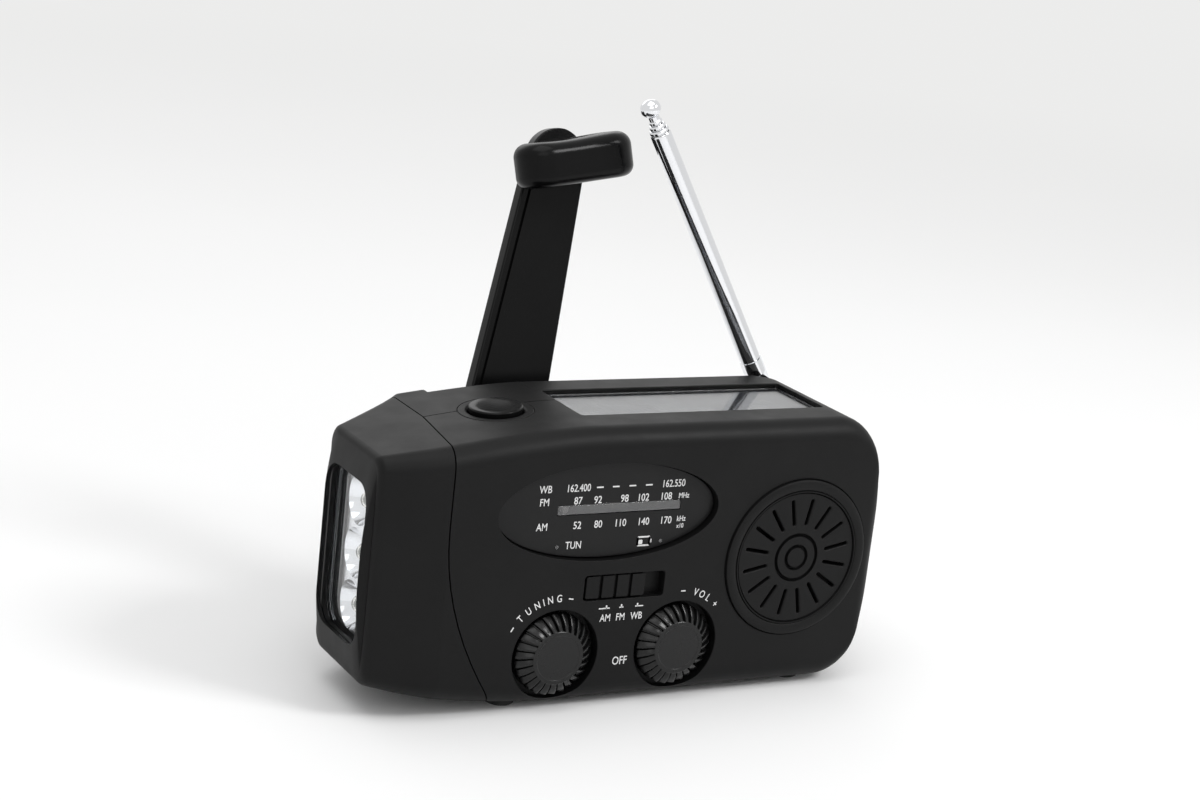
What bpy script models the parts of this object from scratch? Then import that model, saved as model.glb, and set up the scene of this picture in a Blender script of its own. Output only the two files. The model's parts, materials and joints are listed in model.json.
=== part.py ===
"""Wind-up radio: a moulded case with a torch head, a solar panel, a telescopic antenna and a folding crank.

Metres, +Z up. X runs to the right and Y to the rear. Below, places are measured from the tuning knob's
axis in X, from the front face in Y and from the table in Z, and the frame empty then centres the radio.
"""

import math

import bmesh
import bpy
from mathutils import Matrix, Vector

# Case
BODY_DEPTH = 0.0440
BODY_TOP = 0.0618
BODY_RIGHT = 0.0794
RIGHT_BOW = 0.0020
RIGHT_TOP_RADIUS = 0.0105
RIGHT_BOTTOM_RADIUS = 0.0094
RIGHT_EDGE_RADIUS = 0.0035
EDGE_RADIUS = 0.0045
WALL = 0.0018
BOSS_WALL = 0.0014
SHELL_GAP = 0.0003
FIT_GAP = 0.0003
SLIDE_GAP = 0.0004
PARTING_Y = 0.0234
OVERRUN = 0.0100
MERGE = 0.000001

# Torch head
SEAM_X = -0.0274
SEAM_BEND_Z = 0.0420
SEAM_FOOT_SHIFT = 0.0148
HEAD_RIM_X = -0.0423
HEAD_BOW = 0.0019
HEAD_RIM_RADIUS = 0.0014
HEAD_EDGE_RADIUS = 0.0032
FALL_FROM_X = 0.0060
TOP_FALL = 0.0056
TOP_FALL_POWER = 1.5
BOTTOM_RISE = 0.0064
BOTTOM_RISE_POWER = 2.2
HEAD_FRONT_TAPER = 0.0036
FRONT_TAPER_POWER = 1.25
REAR_TAPER_X = -0.0228
HEAD_REAR_TAPER = 0.0140
REAR_TAPER_POWER = 0.9
BODY_STATIONS = (-0.0165, -0.0100, -0.0030)
SEAM_SLANT = 0.0028
HEAD_END_SHARES = (0.3, 0.8)
SECTION_ROUND_SHARE = 0.9
WINDOW_Y = 0.0173
WINDOW_Z = 0.0320
WINDOW_HALF_WIDTH = 0.01075
WINDOW_HALF_HEIGHT = 0.0175
WINDOW_RADIUS = 0.0050
LENS_RECESS = 0.0022
LENS_MARGIN = 0.0013
LENS_THICKNESS = 0.0012
REFLECTOR_DEPTH = 0.0050
REFLECTOR_MARGIN = 0.0005
CUP_RADIUS = 0.0053
CUP_PITCH = 0.0114
LED_RADIUS = 0.0019
LED_LENGTH = 0.0040
LED_BOARD_THICKNESS = 0.0012
LED_COUNT = 3
LED_TIP_SHARE = 0.6
LED_SHOULDER_SHARE = 0.8

# Knobs and their wells
TUNING_Z = 0.0126
VOLUME_X = 0.0293
KNOB_RADIUS = 0.0091
KNOB_NOTCH = 0.0009
KNOB_FACE_RADIUS = 0.0059
KNOB_PROUD = 0.0016
KNOB_RIM_Y = 0.0006
KNOB_RIBS = 26
KNOB_TWIST_SHARE = 0.9
KNOB_SHOULDER_SHARE = 0.35
KNOB_SHALLOW_SHARE = 0.8
WELL_RADIUS = 0.0101
WELL_DEPTH = 0.0030
STEM_RADIUS = 0.0028
SHAFT_RADIUS = 0.0015
SHAFT_ENGAGE = 0.0030
DRUM_RADIUS = 0.0046
DRUM_THICKNESS = 0.0010

# Dial
DIAL_X = 0.0096
DIAL_Z = 0.0439
DIAL_HALF_WIDTH = 0.0263
DIAL_HALF_HEIGHT = 0.0107
DIAL_RECESS = 0.0016
DIAL_THICKNESS = 0.0012
DIAL_LEDGE = 0.0022
BAR_LEFT = -0.00235
BAR_RIGHT = 0.0274
BAR_BOTTOM = 0.0431
BAR_TOP = 0.0454
POINTER_X = -0.0002
POINTER_WIDTH = 0.0016
POINTER_TRAVEL = 0.0245
POINTER_FOOT = 0.0012

# Band switch
SLOT_LEFT = 0.0052
SLOT_RIGHT = 0.0247
SLOT_BOTTOM = 0.0243
SLOT_TOP = 0.0300
SLOT_DEPTH = 0.0024
SLOT_RADIUS = 0.0008
SLIDER_WIDTH = 0.0142
SLIDER_RECESS = 0.0002
SLIDER_GROOVES = 3
SLIDER_GROOVE_WIDTH = 0.0007
SLIDER_GROOVE_DEPTH = 0.0007
SLIDER_START_GAP = 0.0006
BAND_TRAVEL = 0.0044
LEVER_WIDTH = 0.0030
LEVER_HEIGHT = 0.0020

# Speaker and its grille
SPEAKER_X = 0.0576
SPEAKER_Z = 0.0310
GRILLE_RADIUS = 0.0180
GRILLE_RIM_HEIGHT = 0.0007
GRILLE_CREST_RADIUS = 0.0157
GRILLE_DISC_RADIUS = 0.0149
GRILLE_STEP = 0.0003
GRILLE_SLOTS = 16
SLOT_INNER_RADIUS = 0.0072
SLOT_OUTER_RADIUS = 0.0138
GRILLE_SLOT_WIDTH = 0.0013
RING_RADII = (0.0052, 0.0026)
RING_WIDTH = 0.0008
RING_DEPTH = 0.0008
SPEAKER_RADIUS = 0.0165
SPEAKER_FLANGE = 0.0010
BASKET_RADIUS = 0.0125
BASKET_DEPTH = 0.0062
BASKET_WALL = 0.0008
MAGNET_RADIUS = 0.0092
MAGNET_DEPTH = 0.0058
CONE_RADIUS = 0.0148
CONE_THROAT_RADIUS = 0.0042
CONE_DEPTH = 0.0040
CONE_WALL = 0.0006

# Solar panel and torch button
SOLAR_LEFT = 0.0066
SOLAR_RIGHT = 0.0679
SOLAR_FRONT = 0.0116
SOLAR_REAR = 0.0310
SOLAR_RECESS = 0.0010
SOLAR_RADIUS = 0.0007
SOLAR_GLASS = 0.0008
SOLAR_BOARD = 0.0007
SOLAR_TRAY_WALL = 0.0013
BUTTON_X = -0.0091
BUTTON_Y = 0.0209
BUTTON_RADIUS = 0.0058
BUTTON_PROUD = 0.0010
BUTTON_DOME = 0.0004
BUTTON_FLANGE = 0.0011
BUTTON_FLANGE_HEIGHT = 0.0011
BUTTON_TRAVEL = 0.0012
BEZEL_RADIUS = 0.0081
BEZEL_DEPTH = 0.0014
CAGE_FLOOR_DROP = 0.0103
SWITCH_SIDE = 0.0060
SWITCH_HEIGHT = 0.0034

# Crank
CRANK_X = 0.0057
CRANK_Z = 0.0466
CRANK_LEAN = math.radians(13.6)
ARM_TILT = math.radians(12.5)
HUB_RADIUS = 0.0084
HUB_THICKNESS = 0.0028
HUB_RECESS = 0.0013
ARM_THICKNESS = 0.0034
ARM_BASE_WIDTH = 0.0204
ARM_END_WIDTH = 0.0146
ARM_RADIUS = 0.0635
ARM_EDGE = 0.0003
ARM_RIM = 0.0016
ARM_RIM_DEPTH = 0.0007
EAR_WIDTH = 0.0050
HINGE_PIN_RADIUS = 0.0009
CRANK_SHAFT_RADIUS = 0.0025
SHAFT_IN_HUB = 0.0018
BEARING_RADIUS = 0.0050
GRIP_WIDTH = 0.0288
GRIP_DEPTH = 0.0126
GRIP_HEIGHT = 0.0102
GRIP_EDGE = 0.0026
GRIP_DISH = 0.0008
GRIP_DISH_SHARE = 0.32
GRIP_EDGE_SHARE = 0.3
GRIP_SPIN = math.radians(21.6)
GRIP_PARTING_SHARE = 0.36
GRIP_PIN_RADIUS = 0.0014
GRIP_PIN_HEAD_RADIUS = 0.0026
GRIP_PIN_HEAD = 0.0008
GRIP_PIN_IN_FRONT = 0.0050
STOW_DROP = math.radians(20)
POCKET_GAP = 0.0008

# Gear train
GEAR_MODULE = 0.0006
DRIVE_TEETH = 30
IDLER_PINION_TEETH = 12
IDLER_WHEEL_TEETH = 30
ROTOR_TEETH = 10
TOOTH_SHARE = 0.44
TOOTH_ROOT_SHARE = 1.2
TOOTH_TIP_SHARE = 0.9
GEAR_WIDTH = 0.0028
IDLER_DIRECTION = math.radians(236.3)
ROTOR_DIRECTION = math.radians(224.9)
PLATE_SETBACK = 0.0190
PLATE_FRONT_Y = BODY_DEPTH - PLATE_SETBACK
PLATE_THICKNESS = 0.0012
IDLER_AXLE_RADIUS = 0.0012
AXLE_GAP = 0.0002
GENERATOR_RADIUS = 0.0105
GENERATOR_CLEARANCE = 0.0017
GENERATOR_STEP = 0.0010
ROTOR_SHAFT_RADIUS = 0.0010
POST_RADIUS = 0.0024
GEARBOX_POSTS = ((0.0185, 0.0500), (-0.0145, 0.0450), (0.0125, 0.0275), (-0.0195, 0.0335))

# Antenna
ANTENNA_X = 0.0699
ANTENNA_Y = 0.0410
ANTENNA_Z = 0.0586
ANTENNA_LEAN = math.radians(30.8)
ANTENNA_TUBE = 0.0608
ANTENNA_RADIUS = 0.0024
ANTENNA_WALL = 0.00026
ANTENNA_SLIP = 0.00012
SECTION_SHOW = 0.0011
ANTENNA_SECTIONS = 4
TIP_RADIUS = 0.00235
TIP_FLAT_SHARE = 0.87
TIP_NECK = 0.0008
TIP_SEAT_SHARE = 0.9
FOOT_LENGTH = 0.0075
TONGUE_WIDTH = 0.0020
FORK_RADIUS = 0.0026
FORK_CROWN_SHARES = (0.72, 0.6)
ANTENNA_POST_RADIUS = 0.0022
ANTENNA_POST_LENGTH = 0.0050
ANTENNA_PIN_RADIUS = 0.0007
GROOVE_LEFT = -0.0170
GROOVE_FLOOR_DROP = 0.0028
GROOVE_HALF_DEPTH = 0.0028
POST_WELL = 0.0032

# Inner parts
BOARD_LEFT = -0.0150
BOARD_RIGHT = 0.0380
BOARD_BOTTOM = 0.0095
BOARD_TOP = 0.0560
BOARD_FRONT_Y = 0.0096
BOARD_THICKNESS = 0.0012
BOARD_POSTS = ((0.0146, 0.0125), (-0.0125, 0.0360), (0.0363, 0.0535))
BOARD_POST_RADIUS = 0.0016
CAPACITOR_SIDE = 0.0140
POT_RADIUS = 0.0070
COMPONENT_RADIUS = 0.0006
BATTERY_RADIUS = 0.0085
BATTERY_LENGTH = 0.0420
BATTERY_LEFT = 0.0080
BATTERY_Y = 0.0245
FERRITE_RADIUS = 0.0035
FERRITE_LEFT = 0.0040
FERRITE_LENGTH = 0.0420
FERRITE_Z = 0.0525

# Sockets and their cover
PORT_LEFT = -0.0195
PORT_RIGHT = 0.0070
PORT_BOTTOM = 0.0130
PORT_TOP = 0.0216
PORT_DEPTH = 0.0064
PORT_LEDGE = 0.0010
COVER_THICKNESS = 0.0011
PORT_RADIUS = 0.0012
USB_X = -0.0112
USB_WIDTH = 0.0132
USB_HEIGHT = 0.0058
USB_LENGTH = 0.0116
MICRO_X = 0.0026
MICRO_WIDTH = 0.0076
MICRO_HEIGHT = 0.0029
MICRO_LENGTH = 0.0062
SOCKET_WALL = 0.0004
SOCKET_RADIUS = 0.0006
SOCKET_BORE_SHARE = 0.6

# Feet and screws
FOOT_HEIGHT = 0.0012
FOOT_RADIUS = 0.0032
FOOT_SUNK = 0.0006
FOOT_PLACES = ((-0.0080, 0.0080), (0.0640, 0.0080), (-0.0080, 0.0360), (0.0640, 0.0360))
SCREW_PLACES = ((0.0546, 0.0058), (-0.0120, 0.0062), (-0.0200, 0.0535), (0.0500, 0.0510))
SCREW_RADIUS = 0.0012
SCREW_LENGTH = 0.0290
SCREW_HEAD_RADIUS = 0.0026
SCREW_HEAD_HEIGHT = 0.0014
SCREW_HEAD_SUNK = 0.0006
SCREW_BOSS_RADIUS = 0.0038
SCREW_FRONT_BOSS_RADIUS = 0.0026

# Facets
CORNER_STEPS = 3
FINE_STEPS = 24
ROUND_STEPS = 20
SMALL_STEPS = 14
PIN_STEPS = 10

BODY_BOTTOM = FOOT_HEIGHT
HINGE_Y = BODY_DEPTH - HUB_RECESS + HUB_THICKNESS + FIT_GAP + ARM_THICKNESS / 2


def mapped(axis, u, v, w):
    """A point from its place across (u, v) and along (w) the named axis."""
    if axis == "X":
        return Vector((w, u, v))
    if axis == "Y":
        return Vector((u, w, v))
    return Vector((u, v, w))


def loft(rings):
    """A closed solid through rings of equally many points."""
    solid = bmesh.new()
    loops = [[solid.verts.new(point) for point in ring] for ring in rings]
    for low, high in zip(loops, loops[1:]):
        for i in range(len(low)):
            solid.faces.new((low[i - 1], low[i], high[i], high[i - 1]))
    solid.faces.new(loops[0])
    solid.faces.new(loops[-1])
    bmesh.ops.recalc_face_normals(solid, faces=solid.faces)
    return solid


def prism(outline, axis, low, high):
    """An outline of (u, v) points run along an axis."""
    return loft([[mapped(axis, u, v, w) for u, v in outline] for w in (low, high)])


def ellipse(centre, radius_u, radius_v, steps):
    turns = [2 * math.pi * i / steps for i in range(steps)]
    return [(centre[0] + radius_u * math.cos(a), centre[1] + radius_v * math.sin(a)) for a in turns]


def rounded(low, high, radius, steps=CORNER_STEPS):
    """A rectangle between two corners, with round corners."""
    centres = (
        (high[0] - radius, high[1] - radius),
        (low[0] + radius, high[1] - radius),
        (low[0] + radius, low[1] + radius),
        (high[0] - radius, low[1] + radius),
    )
    outline = []
    for quarter, (u, v) in enumerate(centres):
        for step in range(steps + 1):
            turn = math.pi / 2 * (quarter + step / steps)
            outline.append((u + radius * math.cos(turn), v + radius * math.sin(turn)))
    return outline


def around(centre, half_u, half_v, radius, steps=CORNER_STEPS):
    low = (centre[0] - half_u, centre[1] - half_v)
    high = (centre[0] + half_u, centre[1] + half_v)
    return rounded(low, high, radius, steps)


def rod(axis, centre, radius, low, high, steps=ROUND_STEPS):
    return prism(ellipse(centre, radius, radius, steps), axis, low, high)


def turned(profile, axis, centre, steps=ROUND_STEPS, closed=False):
    """A solid turned from (radius, height) pairs that run from axis to axis, or round a closed loop."""
    solid = bmesh.new()
    points = [solid.verts.new(mapped(axis, centre[0] + radius, centre[1], w)) for radius, w in profile]
    pairs = list(zip(points, points[1:]))
    if closed:
        pairs.append((points[-1], points[0]))
    edges = [solid.edges.new(pair) for pair in pairs]
    bmesh.ops.spin(
        solid,
        geom=points + edges,
        cent=mapped(axis, centre[0], centre[1], 0),
        axis=mapped(axis, 0, 0, 1),
        angle=2 * math.pi,
        steps=steps,
        use_merge=True,
    )
    bmesh.ops.remove_doubles(solid, verts=solid.verts, dist=MERGE)
    bmesh.ops.recalc_face_normals(solid, faces=solid.faces)
    return solid


def gathered(solids):
    """Several solids in one mesh, for a cutter or a Boolean union."""
    whole = bmesh.new()
    for solid in solids:
        part = bpy.data.meshes.new("part")
        solid.to_mesh(part)
        solid.free()
        whole.from_mesh(part)
        bpy.data.meshes.remove(part)
    return whole


def finish(name, colour, roughness, metallic=0.0, transmission=0.0):
    material = bpy.data.materials.get(name)
    if material is None:
        material = bpy.data.materials.new(name)
        material.use_nodes = True
        shader = material.node_tree.nodes["Principled BSDF"]
        shader.inputs["Base Color"].default_value = (*colour, 1.0)
        shader.inputs["Roughness"].default_value = roughness
        shader.inputs["Metallic"].default_value = metallic
        shader.inputs["Transmission Weight"].default_value = transmission
    return material


def case_black():
    return finish("case_black", (0.018, 0.018, 0.019), 0.55)


def gloss_black():
    return finish("gloss_black", (0.012, 0.012, 0.013), 0.28)


def chrome():
    return finish("chrome", (0.86, 0.87, 0.88), 0.08, 1.0)


def steel():
    return finish("steel", (0.55, 0.55, 0.56), 0.30, 1.0)


def clear_plastic():
    return finish("clear_plastic", (0.92, 0.94, 0.95), 0.05, 0.0, 0.9)


def dial_black():
    return finish("dial_black", (0.026, 0.026, 0.028), 0.45)


def gear_plastic():
    return finish("gear_plastic", (0.75, 0.73, 0.66), 0.45)


def part_black():
    return finish("part_black", (0.025, 0.025, 0.027), 0.50)


def circuit_green():
    return finish("circuit_green", (0.020, 0.120, 0.050), 0.40)


def solar_blue():
    return finish("solar_blue", (0.030, 0.040, 0.080), 0.20)


def battery_wrap():
    return finish("battery_wrap", (0.050, 0.120, 0.350), 0.40)


def ferrite_grey():
    return finish("ferrite_grey", (0.060, 0.050, 0.050), 0.60)


def rubber_black():
    return finish("rubber_black", (0.015, 0.015, 0.015), 0.80)


def add(name, solid, material, parent, helper=False):
    """An object of this solid, smooth but for its real edges."""
    mesh = bpy.data.meshes.new(name)
    solid.to_mesh(mesh)
    solid.free()
    item = bpy.data.objects.new(name, mesh)
    bpy.context.scene.collection.objects.link(item)
    item.parent = parent
    if helper:
        item.hide_render = True
        item.display_type = "WIRE"
        return item
    mesh.materials.append(material)
    mesh.shade_smooth()
    mesh.set_sharp_from_angle(angle=math.radians(35))
    return item


def pivot(name, place, parent, turn=None):
    """An empty on a joint's axis, which carries what moves with it."""
    empty = bpy.data.objects.new(name, None)
    bpy.context.scene.collection.objects.link(empty)
    empty.parent = parent
    empty.matrix_local = Matrix.Translation(place) @ (turn or Matrix.Identity(4))
    return empty


def boolean(target, tool, operation, overlaps=False):
    modifier = target.modifiers.new(operation.lower(), "BOOLEAN")
    modifier.operation = operation
    modifier.solver = "EXACT"
    modifier.use_self = overlaps
    modifier.object = tool


def cut(target, solids, parent, overlaps=False):
    """Cuts solids out of an object by way of one hidden cutter."""
    tool = add(target.name + "_cutter", gathered(solids), None, parent, helper=True)
    boolean(target, tool, "DIFFERENCE", overlaps)


def clear_scene():
    for item in list(bpy.data.objects):
        bpy.data.objects.remove(item)


# Outer form of the case


def rim_share(x, start, power):
    """How far an X is from a start towards the torch head's rim, 0 to 1, drawn out by a power."""
    share = (start - x) / (start - HEAD_RIM_X)
    return min(max(share, 0.0), 1.0) ** power


def head_end(share):
    """X of the torch head's bowed end at a share of its half height."""
    return HEAD_RIM_X - HEAD_BOW * (1 - share * share)


def arc_rise(radius, reach):
    return math.sqrt(max(radius * radius - reach * reach, 0.0))


def right_end(x, inset):
    """Lowest and highest Z and the front edge's Y at a section near the right end."""
    arc_end = BODY_RIGHT - RIGHT_BOW
    top_centre = BODY_TOP - RIGHT_TOP_RADIUS
    bottom_centre = BODY_BOTTOM + RIGHT_BOTTOM_RADIUS
    at = min(x, arc_end - inset)
    top = top_centre + arc_rise(RIGHT_TOP_RADIUS - inset, max(at - arc_end + RIGHT_TOP_RADIUS, 0.0))
    bottom_reach = max(at - arc_end + RIGHT_BOTTOM_RADIUS, 0.0)
    bottom = bottom_centre - arc_rise(RIGHT_BOTTOM_RADIUS - inset, bottom_reach)
    past = max(x - at, 0.0) / RIGHT_BOW
    if past > 0:
        middle = (top_centre + bottom_centre) / 2
        bow_share = math.sqrt(max(1.0 - past, 0.0))
        top = middle + (top_centre - middle) * bow_share
        bottom = middle + (bottom_centre - middle) * bow_share
    edge_centre = BODY_RIGHT - RIGHT_EDGE_RADIUS
    front = RIGHT_EDGE_RADIUS - arc_rise(RIGHT_EDGE_RADIUS - inset, max(x - edge_centre, 0.0))
    return bottom, top, front


def section(x, inset, shrink=0.0, height_share=1.0):
    """A ring of the case at one X, `inset` inside its outer form."""
    ease = rim_share(x, SEAM_X, FRONT_TAPER_POWER)
    bottom, top, front = right_end(x, inset)
    rear = BODY_DEPTH - front
    top -= TOP_FALL * rim_share(x, FALL_FROM_X, TOP_FALL_POWER) + shrink
    bottom += BOTTOM_RISE * rim_share(x, FALL_FROM_X, BOTTOM_RISE_POWER) + shrink
    front += HEAD_FRONT_TAPER * ease + shrink
    rear -= HEAD_REAR_TAPER * rim_share(x, REAR_TAPER_X, REAR_TAPER_POWER) + shrink
    middle = (top + bottom) / 2
    half = (top - bottom) / 2 * height_share
    edge = EDGE_RADIUS + (HEAD_EDGE_RADIUS - EDGE_RADIUS) * ease - inset
    radius = min(edge, half * SECTION_ROUND_SHARE)
    ring = rounded((front, middle - half), (rear, middle + half), radius)
    return [mapped("X", y, z, x) for y, z in ring]


def case_form(inset=0.0):
    """The whole outer form, or the one `inset` inside it, as sections from the torch end to the right."""
    rim = HEAD_RIM_X + inset
    sections = []
    for share in HEAD_END_SHARES:
        spread = HEAD_RIM_RADIUS * (2 - share)
        sections.append(section(head_end(share) + inset, inset, spread, share))
    for turn_share in (1.0, 0.67, 0.33, 0.0):
        turn = math.pi / 2 * turn_share
        x = rim + HEAD_RIM_RADIUS * (1 - math.sin(turn))
        sections.append(section(x, inset, HEAD_RIM_RADIUS * (1 - math.cos(turn))))
    head_length = SEAM_X - HEAD_RIM_X
    for share in (0.3, 0.6):
        sections.append(section(rim + HEAD_RIM_RADIUS + (head_length - HEAD_RIM_RADIUS) * share, inset))
    for x in (SEAM_X, REAR_TAPER_X, *BODY_STATIONS, FALL_FROM_X):
        sections.append(section(x, inset))
    corner = BODY_RIGHT - RIGHT_BOW - RIGHT_TOP_RADIUS
    for degrees in (0, 22, 40, 56, 70, 82, 90):
        reach = (RIGHT_TOP_RADIUS - inset) * math.sin(math.radians(degrees))
        sections.append(section(corner + reach, inset))
    for share in (0.35, 0.75, 0.98):
        sections.append(section(BODY_RIGHT - RIGHT_BOW - inset + RIGHT_BOW * share, inset))
    return loft(sections)


def seam_ring(side, y):
    """The region left or right of the torch head's seam at one Y. The seam bends forward only in front."""
    steps = 12
    low = BODY_BOTTOM - OVERRUN
    slant = SEAM_SLANT * min(max(y / PARTING_Y, 0.0), 1.0)
    foot_shift = SEAM_FOOT_SHIFT * (1 - min(max(y / BODY_DEPTH, 0.0), 1.0))
    edge = []
    for i in range(steps + 1):
        z = low + (SEAM_BEND_Z - low) * i / steps
        drop_share = (SEAM_BEND_Z - z) / (SEAM_BEND_Z - BODY_BOTTOM)
        edge.append((SEAM_X + side * SHELL_GAP / 2 + slant + foot_shift * drop_share * drop_share, z))
    edge.append((edge[-1][0], BODY_TOP + OVERRUN))
    far = BODY_RIGHT + OVERRUN if side > 0 else HEAD_RIM_X - OVERRUN
    edge += [(far, BODY_TOP + OVERRUN), (far, low)]
    return [mapped("Y", u, v, y) for u, v in edge]


def seam_region(side, levels):
    return loft([seam_ring(side, y) for y in levels])


def dial_ellipse(margin):
    return ellipse((DIAL_X, DIAL_Z), DIAL_HALF_WIDTH + margin, DIAL_HALF_HEIGHT + margin, FINE_STEPS)


def slot_outline(margin):
    low = (SLOT_LEFT - margin, SLOT_BOTTOM - margin)
    high = (SLOT_RIGHT + margin, SLOT_TOP + margin)
    return rounded(low, high, SLOT_RADIUS + max(margin, 0.0))


def solar_outline(margin):
    low = (SOLAR_LEFT - margin, SOLAR_FRONT - margin)
    high = (SOLAR_RIGHT + margin, SOLAR_REAR + margin)
    return rounded(low, high, SOLAR_RADIUS + max(margin, 0.0))


def port_outline(margin):
    low = (PORT_LEFT - margin, PORT_BOTTOM - margin)
    high = (PORT_RIGHT + margin, PORT_TOP + margin)
    return rounded(low, high, PORT_RADIUS + margin)


def stow_place():
    """Where the grip's pin lies when the crank is put away."""
    return (CRANK_X + ARM_RADIUS * math.cos(STOW_DROP), CRANK_Z - ARM_RADIUS * math.sin(STOW_DROP))


def pocket_outline(margin):
    gap = POCKET_GAP + margin
    half_width = GRIP_HEIGHT / 2 + gap
    half_height = GRIP_WIDTH / 2 + gap
    return around(stow_place(), half_width, half_height, GRIP_EDGE + gap)


def pocket_floor():
    return HINGE_Y - ARM_THICKNESS / 2 - FIT_GAP - GRIP_DEPTH - POCKET_GAP


def dial_floor():
    return DIAL_RECESS + DIAL_THICKNESS + FIT_GAP


def solar_floor():
    return BODY_TOP - SOLAR_RECESS - SOLAR_GLASS - SOLAR_BOARD - 2 * FIT_GAP


def button_seat():
    """Where the torch button sits: on the case's falling top and square to it, up its own Z."""
    fall = TOP_FALL * rim_share(BUTTON_X, FALL_FROM_X, TOP_FALL_POWER)
    slope = TOP_FALL_POWER * fall / (FALL_FROM_X - BUTTON_X)
    place = Matrix.Translation(Vector((BUTTON_X, BUTTON_Y, BODY_TOP - fall)))
    return place @ Matrix.Rotation(-math.atan(slope), 4, "Y")


def seated(solid):
    solid.transform(button_seat())
    return solid


def bezel_floor():
    return -BEZEL_DEPTH - FIT_GAP


def cage_floor():
    return -CAGE_FLOOR_DROP


def port_floor():
    return BODY_DEPTH - PORT_DEPTH


def groove_front():
    return ANTENNA_Y - GROOVE_HALF_DEPTH


def groove_floor():
    return ANTENNA_Z - GROOVE_FLOOR_DROP


def groove_outline(margin):
    """The antenna's groove along the rear top edge, as an XY outline with a round well for its post."""
    right = ANTENNA_X + POST_WELL + margin
    low = (GROOVE_LEFT - margin, groove_front() - margin)
    return [low, (right, low[1]), (right, BODY_DEPTH + OVERRUN), (low[0], BODY_DEPTH + OVERRUN)]


def foot_neck():
    return FORK_RADIUS + 2 * FIT_GAP


def foot_swing():
    """Radius and floor of the well that the leaning foot's socket swings round in."""
    sin, cos = math.sin(ANTENNA_LEAN), math.cos(ANTENNA_LEAN)
    reach = (BODY_TOP - ANTENNA_Z + ANTENNA_RADIUS * sin) / cos
    clear = (GROOVE_HALF_DEPTH - FIT_GAP - ANTENNA_RADIUS * cos) / sin
    floor = ANTENNA_Z + clear * cos - ANTENNA_RADIUS * sin
    return reach * sin + ANTENNA_RADIUS * cos + FIT_GAP, floor


def gear_radius(teeth):
    return GEAR_MODULE * teeth / 2


def idler_place():
    reach = gear_radius(DRIVE_TEETH) + gear_radius(IDLER_PINION_TEETH)
    return (CRANK_X + reach * math.cos(IDLER_DIRECTION), CRANK_Z + reach * math.sin(IDLER_DIRECTION))


def rotor_place():
    reach = gear_radius(IDLER_WHEEL_TEETH) + gear_radius(ROTOR_TEETH)
    x, z = idler_place()
    return (x + reach * math.cos(ROTOR_DIRECTION), z + reach * math.sin(ROTOR_DIRECTION))


def rotor_gear_front():
    return PLATE_FRONT_Y + PLATE_THICKNESS + FIT_GAP


def drive_gear_front():
    return rotor_gear_front() + GEAR_WIDTH + 2 * FIT_GAP


def front_bosses():
    """What stands on the front shell inside: cups, the speaker's ring and posts."""
    outside = -OVERRUN
    ring_inner = SPEAKER_RADIUS + FIT_GAP
    ring_outer = ring_inner + BOSS_WALL
    ring_end = WALL + SPEAKER_FLANGE + BOSS_WALL
    bosses = [
        rod("Y", (0, TUNING_Z), WELL_RADIUS + BOSS_WALL, outside, WELL_DEPTH + BOSS_WALL, FINE_STEPS),
        rod("Y", (VOLUME_X, TUNING_Z), WELL_RADIUS + BOSS_WALL, outside, WELL_DEPTH + BOSS_WALL, FINE_STEPS),
        prism(slot_outline(BOSS_WALL), "Y", outside, SLOT_DEPTH + BOSS_WALL),
        prism(dial_ellipse(BOSS_WALL), "Y", outside, dial_floor() + BOSS_WALL),
        turned(
            [(ring_inner, WALL / 2), (ring_outer, WALL / 2), (ring_outer, ring_end), (ring_inner, ring_end)],
            "Y",
            (SPEAKER_X, SPEAKER_Z),
            FINE_STEPS,
            closed=True,
        ),
    ]
    bosses += [
        rod("Y", place, SCREW_FRONT_BOSS_RADIUS, outside, PARTING_Y + OVERRUN, SMALL_STEPS)
        for place in SCREW_PLACES
    ]
    bosses += [
        rod("Y", place, BOARD_POST_RADIUS, outside, BOARD_FRONT_Y - FIT_GAP, PIN_STEPS)
        for place in BOARD_POSTS
    ]
    return bosses


def shared_bosses():
    """What both shells carry: the solar panel's tray and the torch button's cage."""
    ring_radius = BEZEL_RADIUS + FIT_GAP + BOSS_WALL
    return [
        prism(solar_outline(BOSS_WALL), "Z", solar_floor() - SOLAR_TRAY_WALL, BODY_TOP + OVERRUN),
        seated(rod("Z", (0, 0), ring_radius, bezel_floor() - BOSS_WALL, OVERRUN)),
        seated(rod("Z", (0, 0), cage_radius() + BOSS_WALL, cage_floor() - BOSS_WALL, OVERRUN)),
    ]


def cage_radius():
    return BUTTON_RADIUS + BUTTON_FLANGE + FIT_GAP


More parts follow.
